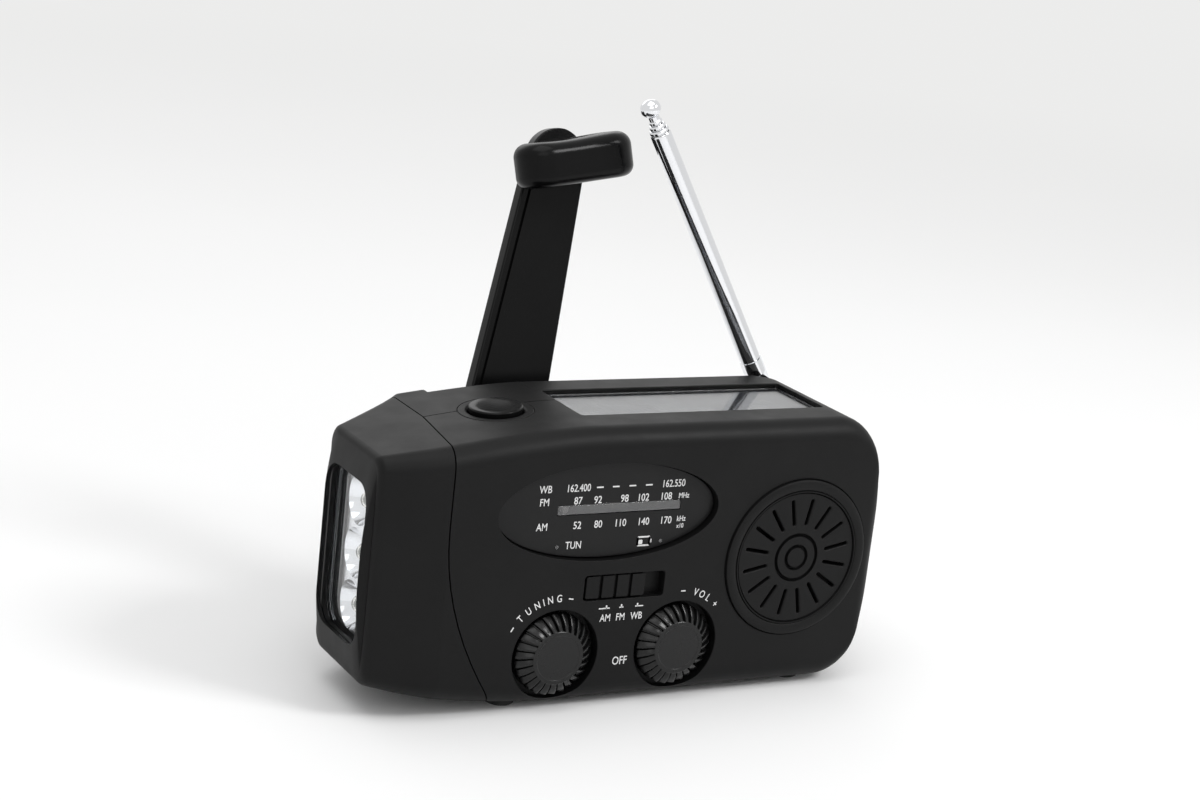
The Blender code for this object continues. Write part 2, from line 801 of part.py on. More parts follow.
def rear_bosses():
    """What stands on the rear shell inside: recesses' walls, the crank's bearing and posts."""
    outside = BODY_DEPTH + OVERRUN
    hub = (CRANK_X, CRANK_Z)
    hub_wall_y = BODY_DEPTH - HUB_RECESS - WALL
    bosses = [
        rod("Y", hub, HUB_RADIUS + FIT_GAP + BOSS_WALL, hub_wall_y, outside),
        rod("Y", hub, BEARING_RADIUS, drive_gear_front() + GEAR_WIDTH + FIT_GAP, outside),
        prism(pocket_outline(BOSS_WALL), "Y", pocket_floor() - BOSS_WALL, outside),
        prism(port_outline(BOSS_WALL), "Y", port_floor() - BOSS_WALL, outside),
        prism(groove_outline(BOSS_WALL), "Z", groove_floor() - BOSS_WALL, BODY_TOP + OVERRUN),
        rod(
            "Z",
            (ANTENNA_X, ANTENNA_Y),
            ANTENNA_POST_RADIUS + FIT_GAP + BOSS_WALL,
            groove_floor() - ANTENNA_POST_LENGTH - BOSS_WALL,
            groove_floor(),
        ),
    ]
    swing, swing_floor = foot_swing()
    post = (ANTENNA_X, ANTENNA_Y)
    bosses.append(rod("Z", post, swing + BOSS_WALL, swing_floor - BOSS_WALL, BODY_TOP + OVERRUN))
    plate_rear = PLATE_FRONT_Y + PLATE_THICKNESS + FIT_GAP
    bosses += [rod("Y", place, POST_RADIUS, plate_rear, outside, PIN_STEPS) for place in GEARBOX_POSTS]
    bosses += [
        rod("Y", place, SCREW_BOSS_RADIUS, PARTING_Y - OVERRUN, outside, SMALL_STEPS)
        for place in SCREW_PLACES
    ]
    return bosses


def grille_rim():
    """The raised ring round the speaker grille."""
    crest = (GRILLE_CREST_RADIUS + GRILLE_DISC_RADIUS) / 2
    profile = [
        (GRILLE_RADIUS, 0),
        (GRILLE_CREST_RADIUS, -GRILLE_RIM_HEIGHT),
        (crest, -GRILLE_RIM_HEIGHT),
        (GRILLE_DISC_RADIUS, -GRILLE_STEP),
        (0, -GRILLE_STEP),
        (0, WALL / 2),
        (GRILLE_RADIUS, WALL / 2),
    ]
    return turned(profile, "Y", (SPEAKER_X, SPEAKER_Z), FINE_STEPS, closed=True)


def grille_cuts():
    """The grille's radial slots and the rings round its centre."""
    centre = Vector((SPEAKER_X, 0, SPEAKER_Z))
    cuts = []
    half = GRILLE_SLOT_WIDTH / 2
    start, end = SLOT_INNER_RADIUS + half, SLOT_OUTER_RADIUS - half
    outline = [(start - half, 0), (start, -half), (end, -half), (end + half, 0), (end, half), (start, half)]
    for i in range(GRILLE_SLOTS):
        slot = prism(outline, "Y", -OVERRUN, OVERRUN / 2)
        turn = Matrix.Translation(centre) @ Matrix.Rotation(2 * math.pi * (i + 0.5) / GRILLE_SLOTS, 4, "Y")
        slot.transform(turn)
        cuts.append(slot)
    floor = RING_DEPTH - GRILLE_STEP
    for radius in RING_RADII:
        low, high = radius - RING_WIDTH / 2, radius + RING_WIDTH / 2
        profile = [(low, -OVERRUN), (high, -OVERRUN), (high, floor), (low, floor)]
        cuts.append(turned(profile, "Y", (SPEAKER_X, SPEAKER_Z), SMALL_STEPS, closed=True))
    return cuts


def front_cuts():
    cuts = grille_cuts()
    for x in (0, VOLUME_X):
        cuts.append(rod("Y", (x, TUNING_Z), WELL_RADIUS, -OVERRUN, WELL_DEPTH, FINE_STEPS))
        cuts.append(rod("Y", (x, TUNING_Z), STEM_RADIUS + FIT_GAP, 0, WELL_DEPTH + OVERRUN, SMALL_STEPS))
    lever_x, lever_z = lever_place()
    lever_half = LEVER_WIDTH / 2 + SLIDE_GAP
    lever_slot = rounded(
        (lever_x - lever_half, lever_z - LEVER_HEIGHT / 2 - SLIDE_GAP),
        (lever_x + lever_half + BAND_TRAVEL, lever_z + LEVER_HEIGHT / 2 + SLIDE_GAP),
        SLOT_RADIUS,
        2,
    )
    cuts += [
        prism(slot_outline(0), "Y", -OVERRUN, SLOT_DEPTH),
        prism(lever_slot, "Y", 0, WELL_DEPTH + OVERRUN),
        prism(dial_ellipse(0), "Y", -OVERRUN, dial_floor()),
        prism(dial_ellipse(-DIAL_LEDGE), "Y", 0, dial_floor() + OVERRUN),
    ]
    screw_end = BODY_DEPTH - SCREW_HEAD_SUNK - SCREW_HEAD_HEIGHT - SCREW_LENGTH - FIT_GAP
    cuts += [
        rod("Y", place, SCREW_RADIUS + FIT_GAP, screw_end, PARTING_Y + OVERRUN, PIN_STEPS)
        for place in SCREW_PLACES
    ]
    return cuts + top_cuts() + foot_cuts()


def top_cuts():
    return [
        prism(solar_outline(0), "Z", solar_floor(), BODY_TOP + OVERRUN),
        seated(rod("Z", (0, 0), BEZEL_RADIUS + FIT_GAP, bezel_floor(), OVERRUN)),
        seated(rod("Z", (0, 0), cage_radius(), cage_floor(), OVERRUN)),
    ]


def foot_cuts():
    sunk = BODY_BOTTOM + FOOT_SUNK + FIT_GAP
    return [rod("Z", place, FOOT_RADIUS + FIT_GAP, -OVERRUN, sunk, SMALL_STEPS) for place in FOOT_PLACES]


def rear_cuts():
    hub = (CRANK_X, CRANK_Z)
    outside = BODY_DEPTH + OVERRUN
    usb, micro = socket_outlines(FIT_GAP)
    head_floor = BODY_DEPTH - SCREW_HEAD_SUNK - SCREW_HEAD_HEIGHT - FIT_GAP
    cuts = [
        rod("Y", hub, HUB_RADIUS + FIT_GAP, BODY_DEPTH - HUB_RECESS - FIT_GAP, outside),
        rod("Y", hub, CRANK_SHAFT_RADIUS + FIT_GAP, PARTING_Y, outside, SMALL_STEPS),
        prism(pocket_outline(0), "Y", pocket_floor(), outside),
        prism(port_outline(0), "Y", port_floor(), outside),
        prism(port_outline(PORT_LEDGE), "Y", BODY_DEPTH - COVER_THICKNESS - FIT_GAP, outside),
        prism(usb, "Y", PARTING_Y, outside),
        prism(micro, "Y", PARTING_Y, outside),
        prism(groove_outline(0), "Z", groove_floor(), BODY_TOP + OVERRUN),
        rod(
            "Z",
            (ANTENNA_X, ANTENNA_Y),
            ANTENNA_POST_RADIUS + FIT_GAP,
            groove_floor() - ANTENNA_POST_LENGTH,
            BODY_TOP + OVERRUN,
            SMALL_STEPS,
        ),
    ]
    swing, swing_floor = foot_swing()
    cuts.append(rod("Z", (ANTENNA_X, ANTENNA_Y), swing, swing_floor, BODY_TOP + OVERRUN))
    for place in SCREW_PLACES:
        cuts.append(rod("Y", place, SCREW_RADIUS + FIT_GAP, PARTING_Y - OVERRUN, outside, PIN_STEPS))
        cuts.append(rod("Y", place, SCREW_HEAD_RADIUS + FIT_GAP, head_floor, outside, SMALL_STEPS))
    return cuts + top_cuts() + foot_cuts()


def shells(frame):
    """Front, rear and head shells: the case's form without its core, parted at the seams."""
    inner = add("core", case_form(WALL), None, frame, helper=True)
    cut(inner, front_bosses(), frame, overlaps=True)
    front_core = inner
    middle_core = add("rear_core", case_form(WALL), None, frame, helper=True)
    cut(middle_core, rear_bosses(), frame, overlaps=True)
    head_core = add("head_core", case_form(WALL), None, frame, helper=True)
    for core in (front_core, middle_core):
        cut(core, shared_bosses(), frame, overlaps=True)

    near, far = -OVERRUN, BODY_DEPTH + OVERRUN
    half_gap = SHELL_GAP / 2
    front_levels = (near, 0, PARTING_Y - half_gap)
    rear_levels = (PARTING_Y + half_gap, BODY_DEPTH, far)
    front_region = add("front_region", seam_region(1, front_levels), None, frame, True)
    rear_region = add("rear_region", seam_region(1, rear_levels), None, frame, True)
    head_region = add("head_region", seam_region(-1, front_levels + rear_levels), None, frame, True)
    rim = add("grille_rim", grille_rim(), None, frame, True)

    front = add("front_shell", case_form(), case_black(), frame)
    boolean(front, rim, "UNION")
    boolean(front, front_region, "INTERSECT")
    boolean(front, front_core, "DIFFERENCE")
    cut(front, front_cuts(), frame, overlaps=True)

    rear = add("rear_shell", case_form(), case_black(), frame)
    boolean(rear, rear_region, "INTERSECT")
    boolean(rear, middle_core, "DIFFERENCE")
    cut(rear, rear_cuts(), frame, overlaps=True)

    head = add("head_shell", case_form(), case_black(), frame)
    boolean(head, head_region, "INTERSECT")
    boolean(head, head_core, "DIFFERENCE")
    window = around((WINDOW_Y, WINDOW_Z), WINDOW_HALF_WIDTH, WINDOW_HALF_HEIGHT, WINDOW_RADIUS)
    cuts = [prism(window, "X", HEAD_RIM_X - OVERRUN, HEAD_RIM_X + OVERRUN)]
    cuts.append(prism(lens_outline(FIT_GAP), "X", lens_face() - FIT_GAP, HEAD_RIM_X + OVERRUN))
    cut(head, cuts, frame, overlaps=True)


# Torch


def lens_face():
    return HEAD_RIM_X - HEAD_BOW + LENS_RECESS


def lens_outline(margin):
    grow = LENS_MARGIN + margin
    half = (WINDOW_HALF_WIDTH + grow, WINDOW_HALF_HEIGHT + grow)
    return around((WINDOW_Y, WINDOW_Z), half[0], half[1], WINDOW_RADIUS + grow)


def torch(frame):
    """Lens plate, reflector with its cups, LEDs and their board."""
    front = lens_face()
    add("lens_plate", prism(lens_outline(0), "X", front, front + LENS_THICKNESS), clear_plastic(), frame)
    face = front + LENS_THICKNESS + FIT_GAP
    back = face + REFLECTOR_DEPTH
    outline = lens_outline(-REFLECTOR_MARGIN)
    reflector = add("reflector", prism(outline, "X", face, back), chrome(), frame)
    hole = LED_RADIUS + FIT_GAP
    places = [(WINDOW_Y, WINDOW_Z + CUP_PITCH * (i - 1)) for i in range(LED_COUNT)]
    waist = back - WALL / 2
    mouth = CUP_RADIUS + WALL / 2
    profile = [(0, face - WALL), (mouth, face - WALL), (hole, waist), (hole, back + WALL), (0, back + WALL)]
    cut(reflector, [turned(profile, "X", place, SMALL_STEPS) for place in places], frame)
    board = back + FIT_GAP
    outline = lens_outline(-2 * REFLECTOR_MARGIN)
    add("led_board", prism(outline, "X", board, board + LED_BOARD_THICKNESS), circuit_green(), frame)
    for i, place in enumerate(places):
        tip = back - LED_LENGTH
        led_back = back
        blunt = LED_RADIUS * (1 - LED_SHOULDER_SHARE)
        shoulder = tip + LED_RADIUS * LED_SHOULDER_SHARE
        profile = [(0, tip), (LED_RADIUS * LED_TIP_SHARE, tip + blunt), (LED_RADIUS, shoulder)]
        profile += [(LED_RADIUS, led_back), (0, led_back)]
        add(f"torch_led_{i + 1}", turned(profile, "X", place, PIN_STEPS), clear_plastic(), frame)


# Controls


def knob_solid():
    """A knob round its own axis: flat face, sloped skirt with slanted ribs, and the stem behind."""
    count = 2 * KNOB_RIBS
    face_y = -KNOB_PROUD
    back_y = WELL_DEPTH - SLIDE_GAP

    def ring(radius, notch, y, twist):
        points = []
        for i in range(count):
            turn = 2 * math.pi * (i + twist) / count
            reach = radius - (notch if i % 2 else 0)
            points.append(Vector((reach * math.cos(turn), y, reach * math.sin(turn))))
        return points

    shoulder = (KNOB_FACE_RADIUS + KNOB_RADIUS) / 2
    shoulder_y = face_y + (KNOB_RIM_Y - face_y) * KNOB_SHOULDER_SHARE
    rings = [
        ring(KNOB_FACE_RADIUS, 0, face_y, 0),
        ring(shoulder, KNOB_NOTCH * KNOB_SHALLOW_SHARE, shoulder_y, KNOB_TWIST_SHARE / 2),
        ring(KNOB_RADIUS, KNOB_NOTCH, KNOB_RIM_Y, KNOB_TWIST_SHARE),
        ring(KNOB_RADIUS, KNOB_NOTCH, back_y, KNOB_TWIST_SHARE),
    ]
    return loft(rings)


def knob(name, place, frame):
    """A knob with its stem and bore, on an empty on its axis."""
    axis = pivot(name + "_axis", place, frame)
    item = add(name, knob_solid(), gloss_black(), axis)
    back_y = WELL_DEPTH - SLIDE_GAP
    stem_end = WELL_DEPTH + BOSS_WALL
    stem = rod("Y", (0, 0), STEM_RADIUS, back_y - WALL, stem_end, SMALL_STEPS)
    boolean(item, add(name + "_stem", stem, None, axis, True), "UNION")
    cut(item, [rod("Y", (0, 0), SHAFT_RADIUS + FIT_GAP, shaft_tip() - FIT_GAP, OVERRUN, PIN_STEPS)], axis)
    return axis


def shaft_tip():
    return WELL_DEPTH + BOSS_WALL - SHAFT_ENGAGE


def component_front():
    return WELL_DEPTH + BOSS_WALL + DRUM_THICKNESS + 2 * FIT_GAP


def component_back():
    return BOARD_FRONT_Y - FIT_GAP


def controls(frame):
    """Knobs, their shafts, the tuning capacitor, the volume pot and the main board behind them."""
    tuning = knob("tuning_knob", Vector((0, 0, TUNING_Z)), frame)
    volume = knob("volume_knob", Vector((VOLUME_X, 0, TUNING_Z)), frame)
    tip = shaft_tip()
    seat = component_front()
    drum_y = WELL_DEPTH + BOSS_WALL + FIT_GAP
    end = seat + SHAFT_ENGAGE / 2
    profile = [
        (0, tip),
        (SHAFT_RADIUS, tip),
        (SHAFT_RADIUS, drum_y),
        (DRUM_RADIUS, drum_y),
        (DRUM_RADIUS, drum_y + DRUM_THICKNESS),
        (SHAFT_RADIUS, drum_y + DRUM_THICKNESS),
        (SHAFT_RADIUS, end),
        (0, end),
    ]
    add("tuning_shaft", turned(profile, "Y", (0, 0), PIN_STEPS), part_black(), tuning)
    plain = [(0, tip), (SHAFT_RADIUS, tip), (SHAFT_RADIUS, end), (0, end)]
    add("volume_shaft", turned(plain, "Y", (0, 0), PIN_STEPS), steel(), volume)

    side = CAPACITOR_SIDE / 2
    hole = SHAFT_RADIUS + FIT_GAP
    body = around((0, TUNING_Z), side, side, COMPONENT_RADIUS, 2)
    capacitor = add("tuning_capacitor", prism(body, "Y", seat, component_back()), part_black(), frame)
    cut(capacitor, [rod("Y", (0, TUNING_Z), hole, seat - WALL, end + FIT_GAP, PIN_STEPS)], frame)
    pot = add(
        "volume_pot",
        rod("Y", (VOLUME_X, TUNING_Z), POT_RADIUS, seat, component_back(), ROUND_STEPS),
        steel(),
        frame,
    )
    cut(pot, [rod("Y", (VOLUME_X, TUNING_Z), hole, seat - WALL, end + FIT_GAP, PIN_STEPS)], frame)
    board = rounded((BOARD_LEFT, BOARD_BOTTOM), (BOARD_RIGHT, BOARD_TOP), COMPONENT_RADIUS, 1)
    add(
        "main_board",
        prism(board, "Y", BOARD_FRONT_Y, BOARD_FRONT_Y + BOARD_THICKNESS),
        circuit_green(),
        frame,
    )


def dial(frame):
    """The scale plate, the clear strip in it and the pointer behind the strip."""
    plate = add(
        "dial_plate",
        prism(dial_ellipse(-FIT_GAP), "Y", DIAL_RECESS, DIAL_RECESS + DIAL_THICKNESS),
        dial_black(),
        frame,
    )
    slot = rounded((BAR_LEFT, BAR_BOTTOM), (BAR_RIGHT, BAR_TOP), FIT_GAP, 1)
    cut(plate, [prism(slot, "Y", -OVERRUN, OVERRUN)], frame)
    gap = FIT_GAP
    strip = rounded((BAR_LEFT + gap, BAR_BOTTOM + gap), (BAR_RIGHT - gap, BAR_TOP - gap), gap / 2, 1)
    window_back = DIAL_RECESS + DIAL_THICKNESS / 2
    add("dial_window", prism(strip, "Y", DIAL_RECESS, window_back), clear_plastic(), frame)

    axis = pivot("tuning_pointer_slide", Vector((POINTER_X, 0, (BAR_BOTTOM + BAR_TOP) / 2)), frame)
    half_height = (BAR_TOP - BAR_BOTTOM) / 2 - SLIDE_GAP
    outline = around((0, 0), POINTER_WIDTH / 2, half_height, gap, 1)
    tip = prism(outline, "Y", window_back + gap, DIAL_RECESS + DIAL_THICKNESS + POINTER_FOOT)
    item = add("tuning_pointer", tip, gear_plastic(), axis)
    carriage_front = DIAL_RECESS + DIAL_THICKNESS + gap
    outline = around((0, 0), 2 * POINTER_WIDTH, half_height + WALL, gap, 1)
    carriage = prism(outline, "Y", carriage_front, carriage_front + POINTER_FOOT)
    boolean(item, add("pointer_carriage", carriage, None, axis, True), "UNION")


def lever_place():
    """Middle of the band slider's lever at the left stop."""
    return (SLOT_LEFT + SLIDER_START_GAP + SLIDER_WIDTH / 2, (SLOT_BOTTOM + SLOT_TOP) / 2)


def band_switch(frame):
    """The slider in its slot, with grooves across its face, and the switch its lever reaches into."""
    x, z = lever_place()
    axis = pivot("band_slide", Vector((x, 0, z)), frame)
    half_width = SLIDER_WIDTH / 2
    half_height = (SLOT_TOP - SLOT_BOTTOM) / 2 - SLIDE_GAP
    back = SLOT_DEPTH - FIT_GAP
    item = add(
        "band_slider",
        prism(around((0, 0), half_width, half_height, SLOT_RADIUS / 2, 2), "Y", SLIDER_RECESS, back),
        case_black(),
        axis,
    )
    lever_end = component_front() + SHAFT_ENGAGE / 2
    lever = prism(
        around((0, 0), LEVER_WIDTH / 2, LEVER_HEIGHT / 2, FIT_GAP, 1), "Y", back - WALL / 2, lever_end
    )
    boolean(item, add("band_lever", lever, None, axis, True), "UNION")
    grooves = []
    for i in range(SLIDER_GROOVES):
        middle = SLIDER_WIDTH * ((i + 1) / (SLIDER_GROOVES + 1) - 0.5)
        outline = around((middle, 0), SLIDER_GROOVE_WIDTH / 2, half_height + WALL, FIT_GAP / 2, 1)
        grooves.append(prism(outline, "Y", -OVERRUN, SLIDER_RECESS + SLIDER_GROOVE_DEPTH))
    cut(item, grooves, axis)

    seat = component_front()
    margin = WALL
    low = (x - LEVER_WIDTH / 2 - SLIDE_GAP - margin, z - LEVER_HEIGHT / 2 - SLIDE_GAP - margin)
    high = (x + LEVER_WIDTH / 2 + SLIDE_GAP + BAND_TRAVEL + margin, z + LEVER_HEIGHT / 2 + SLIDE_GAP + margin)
    body = prism(rounded(low, high, FIT_GAP, 1), "Y", seat, component_back())
    switch = add("band_switch", body, steel(), frame)
    low = (low[0] + margin, low[1] + margin)
    high = (high[0] - margin, high[1] - margin)
    cut(switch, [prism(rounded(low, high, FIT_GAP, 1), "Y", seat - WALL, lever_end + FIT_GAP)], frame)


def speaker(frame):
    """The speaker: a basket with its magnet in one turned piece, and the paper cone in it."""
    centre = (SPEAKER_X, SPEAKER_Z)
    flange = WALL + FIT_GAP
    flange_back = flange + SPEAKER_FLANGE
    basket_back = flange + BASKET_DEPTH
    magnet_back = basket_back + MAGNET_DEPTH
    mouth = CONE_RADIUS + FIT_GAP
    inner = BASKET_RADIUS - BASKET_WALL
    profile = [
        (0, basket_back - BASKET_WALL),
        (inner, basket_back - BASKET_WALL),
        (mouth, flange),
        (SPEAKER_RADIUS, flange),
        (SPEAKER_RADIUS, flange_back),
        (mouth + BASKET_WALL / 2, flange_back),
        (BASKET_RADIUS, basket_back),
        (MAGNET_RADIUS, basket_back),
        (MAGNET_RADIUS, magnet_back),
        (0, magnet_back),
    ]
    add("speaker_frame", turned(profile, "Y", centre, ROUND_STEPS), steel(), frame)
    rim = flange + FIT_GAP
    throat = rim + CONE_DEPTH
    cap = throat - CONE_THROAT_RADIUS / 2
    profile = [
        (0, cap),
        (CONE_THROAT_RADIUS / 2, cap + CONE_WALL),
        (CONE_THROAT_RADIUS, throat),
        (CONE_RADIUS - BASKET_WALL, rim),
        (CONE_RADIUS - BASKET_WALL, rim + CONE_WALL),
        (CONE_THROAT_RADIUS, throat + CONE_WALL),
        (0, throat + CONE_WALL),
    ]
    add("speaker_cone", turned(profile, "Y", centre, SMALL_STEPS), part_black(), frame)


# Top


def solar(frame):
    """The solar panel's board in its tray, and the clear face over it."""
    low = solar_floor() + FIT_GAP
    outline = solar_outline(-FIT_GAP)
    add("solar_panel", prism(outline, "Z", low, low + SOLAR_BOARD), solar_blue(), frame)
    low += SOLAR_BOARD + FIT_GAP
    add("solar_face", prism(outline, "Z", low, low + SOLAR_GLASS), clear_plastic(), frame)


def torch_switch(frame):
    """The torch button in its ring, and the switch under it."""
    ring_low = bezel_floor() + FIT_GAP
    bore = BUTTON_RADIUS + FIT_GAP
    chamfer = BEZEL_DEPTH / 3
    profile = [
        (bore, ring_low),
        (BEZEL_RADIUS, ring_low),
        (BEZEL_RADIUS, 0),
        (bore + chamfer, 0),
        (bore, -chamfer),
    ]
    add("button_ring", seated(turned(profile, "Z", (0, 0), ROUND_STEPS, closed=True)), case_black(), frame)

    seat = button_seat()
    axis = pivot("torch_button_slide", seat.translation, frame, seat.to_3x3().to_4x4())
    flange = BUTTON_RADIUS + BUTTON_FLANGE
    flange_top = ring_low - FIT_GAP
    flange_low = flange_top - BUTTON_FLANGE_HEIGHT
    low = cage_floor() + FIT_GAP
    stem_low = low + SWITCH_HEIGHT + BUTTON_TRAVEL + FIT_GAP
    profile = [
        (0, stem_low),
        (BUTTON_FLANGE, stem_low),
        (BUTTON_FLANGE, flange_low),
        (flange, flange_low),
        (flange, flange_top),
        (BUTTON_RADIUS, flange_top),
        (BUTTON_RADIUS, BUTTON_PROUD - BUTTON_DOME),
        (BUTTON_RADIUS - BUTTON_DOME, BUTTON_PROUD),
        (0, BUTTON_PROUD),
    ]
    add("torch_button", turned(profile, "Z", (0, 0), ROUND_STEPS), gloss_black(), axis)

    half = SWITCH_SIDE / 2
    body = around((0, 0), half, half, COMPONENT_RADIUS, 1)
    add("torch_switch", seated(prism(body, "Z", low, low + SWITCH_HEIGHT)), part_black(), frame)


# Antenna


def section_radius(index):
    return ANTENNA_RADIUS - index * (ANTENNA_WALL + ANTENNA_SLIP)


def antenna(frame):
    """The post that swivels, the foot that tilts on its pin, and the sections that draw out."""
    place = Vector((ANTENNA_X, ANTENNA_Y, ANTENNA_Z))
    post = pivot("antenna_swivel", place, frame)
    shoulder = groove_floor() + FIT_GAP - ANTENNA_Z
    bottom = groove_floor() - ANTENNA_POST_LENGTH + FIT_GAP - ANTENNA_Z
    profile = [
        (0, bottom),
        (ANTENNA_POST_RADIUS, bottom),
        (ANTENNA_POST_RADIUS, shoulder),
        (FORK_RADIUS, shoulder),
        (FORK_RADIUS, 0),
        (FORK_RADIUS * FORK_CROWN_SHARES[0], FORK_RADIUS * FORK_CROWN_SHARES[1]),
        (0, FORK_RADIUS * FORK_CROWN_SHARES[1]),
    ]
    fork = add("antenna_post", turned(profile, "Z", (0, 0), SMALL_STEPS), chrome(), post)
    slot_half = TONGUE_WIDTH / 2 + ANTENNA_SLIP
    slot_low = -ANTENNA_RADIUS - ANTENNA_SLIP
    outline = [(-OVERRUN, slot_low), (OVERRUN, slot_low), (OVERRUN, OVERRUN), (-OVERRUN, OVERRUN)]
    cuts = [prism(outline, "Y", -slot_half, slot_half)]
    cuts.append(rod("Y", (0, 0), ANTENNA_PIN_RADIUS + ANTENNA_SLIP, -OVERRUN, OVERRUN, PIN_STEPS))
    cut(fork, cuts, post, overlaps=True)
    pin_half = FORK_RADIUS
    add("antenna_pin", rod("Y", (0, 0), ANTENNA_PIN_RADIUS, -pin_half, pin_half, PIN_STEPS), steel(), post)

    tilt = pivot("antenna_tilt", Vector((0, 0, 0)), post, Matrix.Rotation(-ANTENNA_LEAN, 4, "Y"))
    tongue = ellipse((0, 0), ANTENNA_RADIUS, ANTENNA_RADIUS, SMALL_STEPS)
    half_turn = SMALL_STEPS // 2
    tongue = tongue[half_turn:] + [(ANTENNA_RADIUS, FOOT_LENGTH), (-ANTENNA_RADIUS, FOOT_LENGTH)]
    foot = add("antenna_foot", prism(tongue, "Y", -TONGUE_WIDTH / 2, TONGUE_WIDTH / 2), chrome(), tilt)
    neck = foot_neck()
    sleeve = section_radius(0) - ANTENNA_WALL - ANTENNA_SLIP
    profile = [
        (0, neck),
        (ANTENNA_RADIUS, neck),
        (ANTENNA_RADIUS, FOOT_LENGTH - FIT_GAP),
        (sleeve, FOOT_LENGTH - FIT_GAP),
        (sleeve, FOOT_LENGTH + ANTENNA_RADIUS),
        (0, FOOT_LENGTH + ANTENNA_RADIUS),
    ]
    boolean(foot, add("antenna_socket", turned(profile, "Z", (0, 0), SMALL_STEPS), None, tilt, True), "UNION")
    cut(foot, [rod("Y", (0, 0), ANTENNA_PIN_RADIUS + ANTENNA_SLIP, -OVERRUN, OVERRUN, PIN_STEPS)], tilt)

    parent = tilt
    for index in range(ANTENNA_SECTIONS):
        parent = antenna_section(index, parent, tilt)


def antenna_section(index, parent, tilt):
    """One tube of the antenna, nested in the one before. Each shows a little of itself past the last."""
    slide = tilt if index == 0 else pivot(f"antenna_slide_{index}", Vector((0, 0, 0)), parent)
    radius = section_radius(index)
    top = ANTENNA_TUBE + FOOT_LENGTH + SECTION_SHOW * index
    if index == 0:
        low = FOOT_LENGTH
    else:
        low = FOOT_LENGTH + ANTENNA_RADIUS + FIT_GAP * (index + 1)
    collar = section_radius(index - 1) - ANTENNA_SLIP if index else radius
    collar_low = top - SECTION_SHOW + FIT_GAP
    bore = radius - ANTENNA_WALL
    last = index == ANTENNA_SECTIONS - 1
    profile = [(bore, low), (radius, low)]
    if last:
        profile[0] = (0, low)
    if index:
        profile += [(radius, collar_low), (collar, collar_low), (collar, top)]
    else:
        profile += [(radius, top)]
    if last:
        rise = TIP_RADIUS * TIP_FLAT_SHARE
        ball = top + TIP_NECK + rise
        profile += [(radius, top), (radius, ball - rise * TIP_SEAT_SHARE)]
        for degrees in (-45, -10, 25, 60):
            turn = math.radians(degrees)
            profile.append((TIP_RADIUS * math.cos(turn), ball + rise * math.sin(turn)))
        profile.append((0, ball + rise))
    else:
        profile += [(bore, top)]
    name = f"antenna_section_{index + 1}"
    add(name, turned(profile, "Z", (0, 0), SMALL_STEPS, closed=not last), chrome(), slide)
    return slide


# Crank and gear train


def gear_outline(teeth):
    """A toothed outline: straight flanks from root to tip, a little thinner than half the pitch."""
    radius = gear_radius(teeth)
    root = radius - TOOTH_ROOT_SHARE * GEAR_MODULE
    tip = radius + TOOTH_TIP_SHARE * GEAR_MODULE
    pitch = 2 * math.pi / teeth
    outline = []
    for tooth in range(teeth):
        middle = pitch * tooth
        for reach, width_share in ((root, -1.5), (tip, -0.5), (tip, 0.5), (root, 1.5)):
            turn = middle + pitch * TOOTH_SHARE / 2 * width_share
            outline.append((reach * math.cos(turn), reach * math.sin(turn)))
    return outline


def turned_outline(outline, turn):
    cos, sin = math.cos(turn), math.sin(turn)
    return [(u * cos - v * sin, u * sin + v * cos) for u, v in outline]


def hub(crank):
    """The round hub in the rear shell's recess, with the ear that the arm folds on."""
    front = BODY_DEPTH - HUB_RECESS
    back = front + HUB_THICKNESS
    ear_radius = ARM_THICKNESS / 2
    item = add("crank_hub", rod("Y", (0, 0), HUB_RADIUS, front, back), case_black(), crank)
    half = EAR_WIDTH / 2
    steps = SMALL_STEPS // 2
    outline = [(back - FIT_GAP, -ear_radius)]
    for i in range(steps + 1):
        turn = math.pi * (i / steps - 0.5)
        outline.append((HINGE_Y + ear_radius * math.cos(turn), ear_radius * math.sin(turn)))
    outline.append((back - FIT_GAP, ear_radius))
    ear = add("hub_ear", prism(outline, "X", -half, half), None, crank, True)
    boolean(item, ear, "UNION")
    shaft = rod("Y", (0, 0), CRANK_SHAFT_RADIUS + FIT_GAP, 0, front + SHAFT_IN_HUB + FIT_GAP, SMALL_STEPS)
    pin = rod("X", (HINGE_Y, 0), HINGE_PIN_RADIUS + FIT_GAP / 2, -HUB_RADIUS, HUB_RADIUS, PIN_STEPS)
    cut(item, [shaft, pin], crank)
    add(
        "crank_shaft",
        rod("Y", (0, 0), CRANK_SHAFT_RADIUS, PLATE_FRONT_Y - FIT_GAP, front + SHAFT_IN_HUB, SMALL_STEPS),
        steel(),
        crank,
    )


def arm_half_width(reach):
    share = reach / ARM_RADIUS
    return (ARM_BASE_WIDTH + (ARM_END_WIDTH - ARM_BASE_WIDTH) * share) / 2


def arm_outline(inset, low):
    """The arm's tapered outline, round at the grip's end, `inset` inside its edge."""
    end = arm_half_width(ARM_RADIUS) - inset
    outline = [(-(arm_half_width(0) - inset), low), (arm_half_width(0) - inset, low)]
    steps = 2 * CORNER_STEPS + 2
    for i in range(steps + 1):
        turn = math.pi * i / steps
        outline.append((end * math.cos(turn), ARM_RADIUS + end * math.sin(turn)))
    return outline


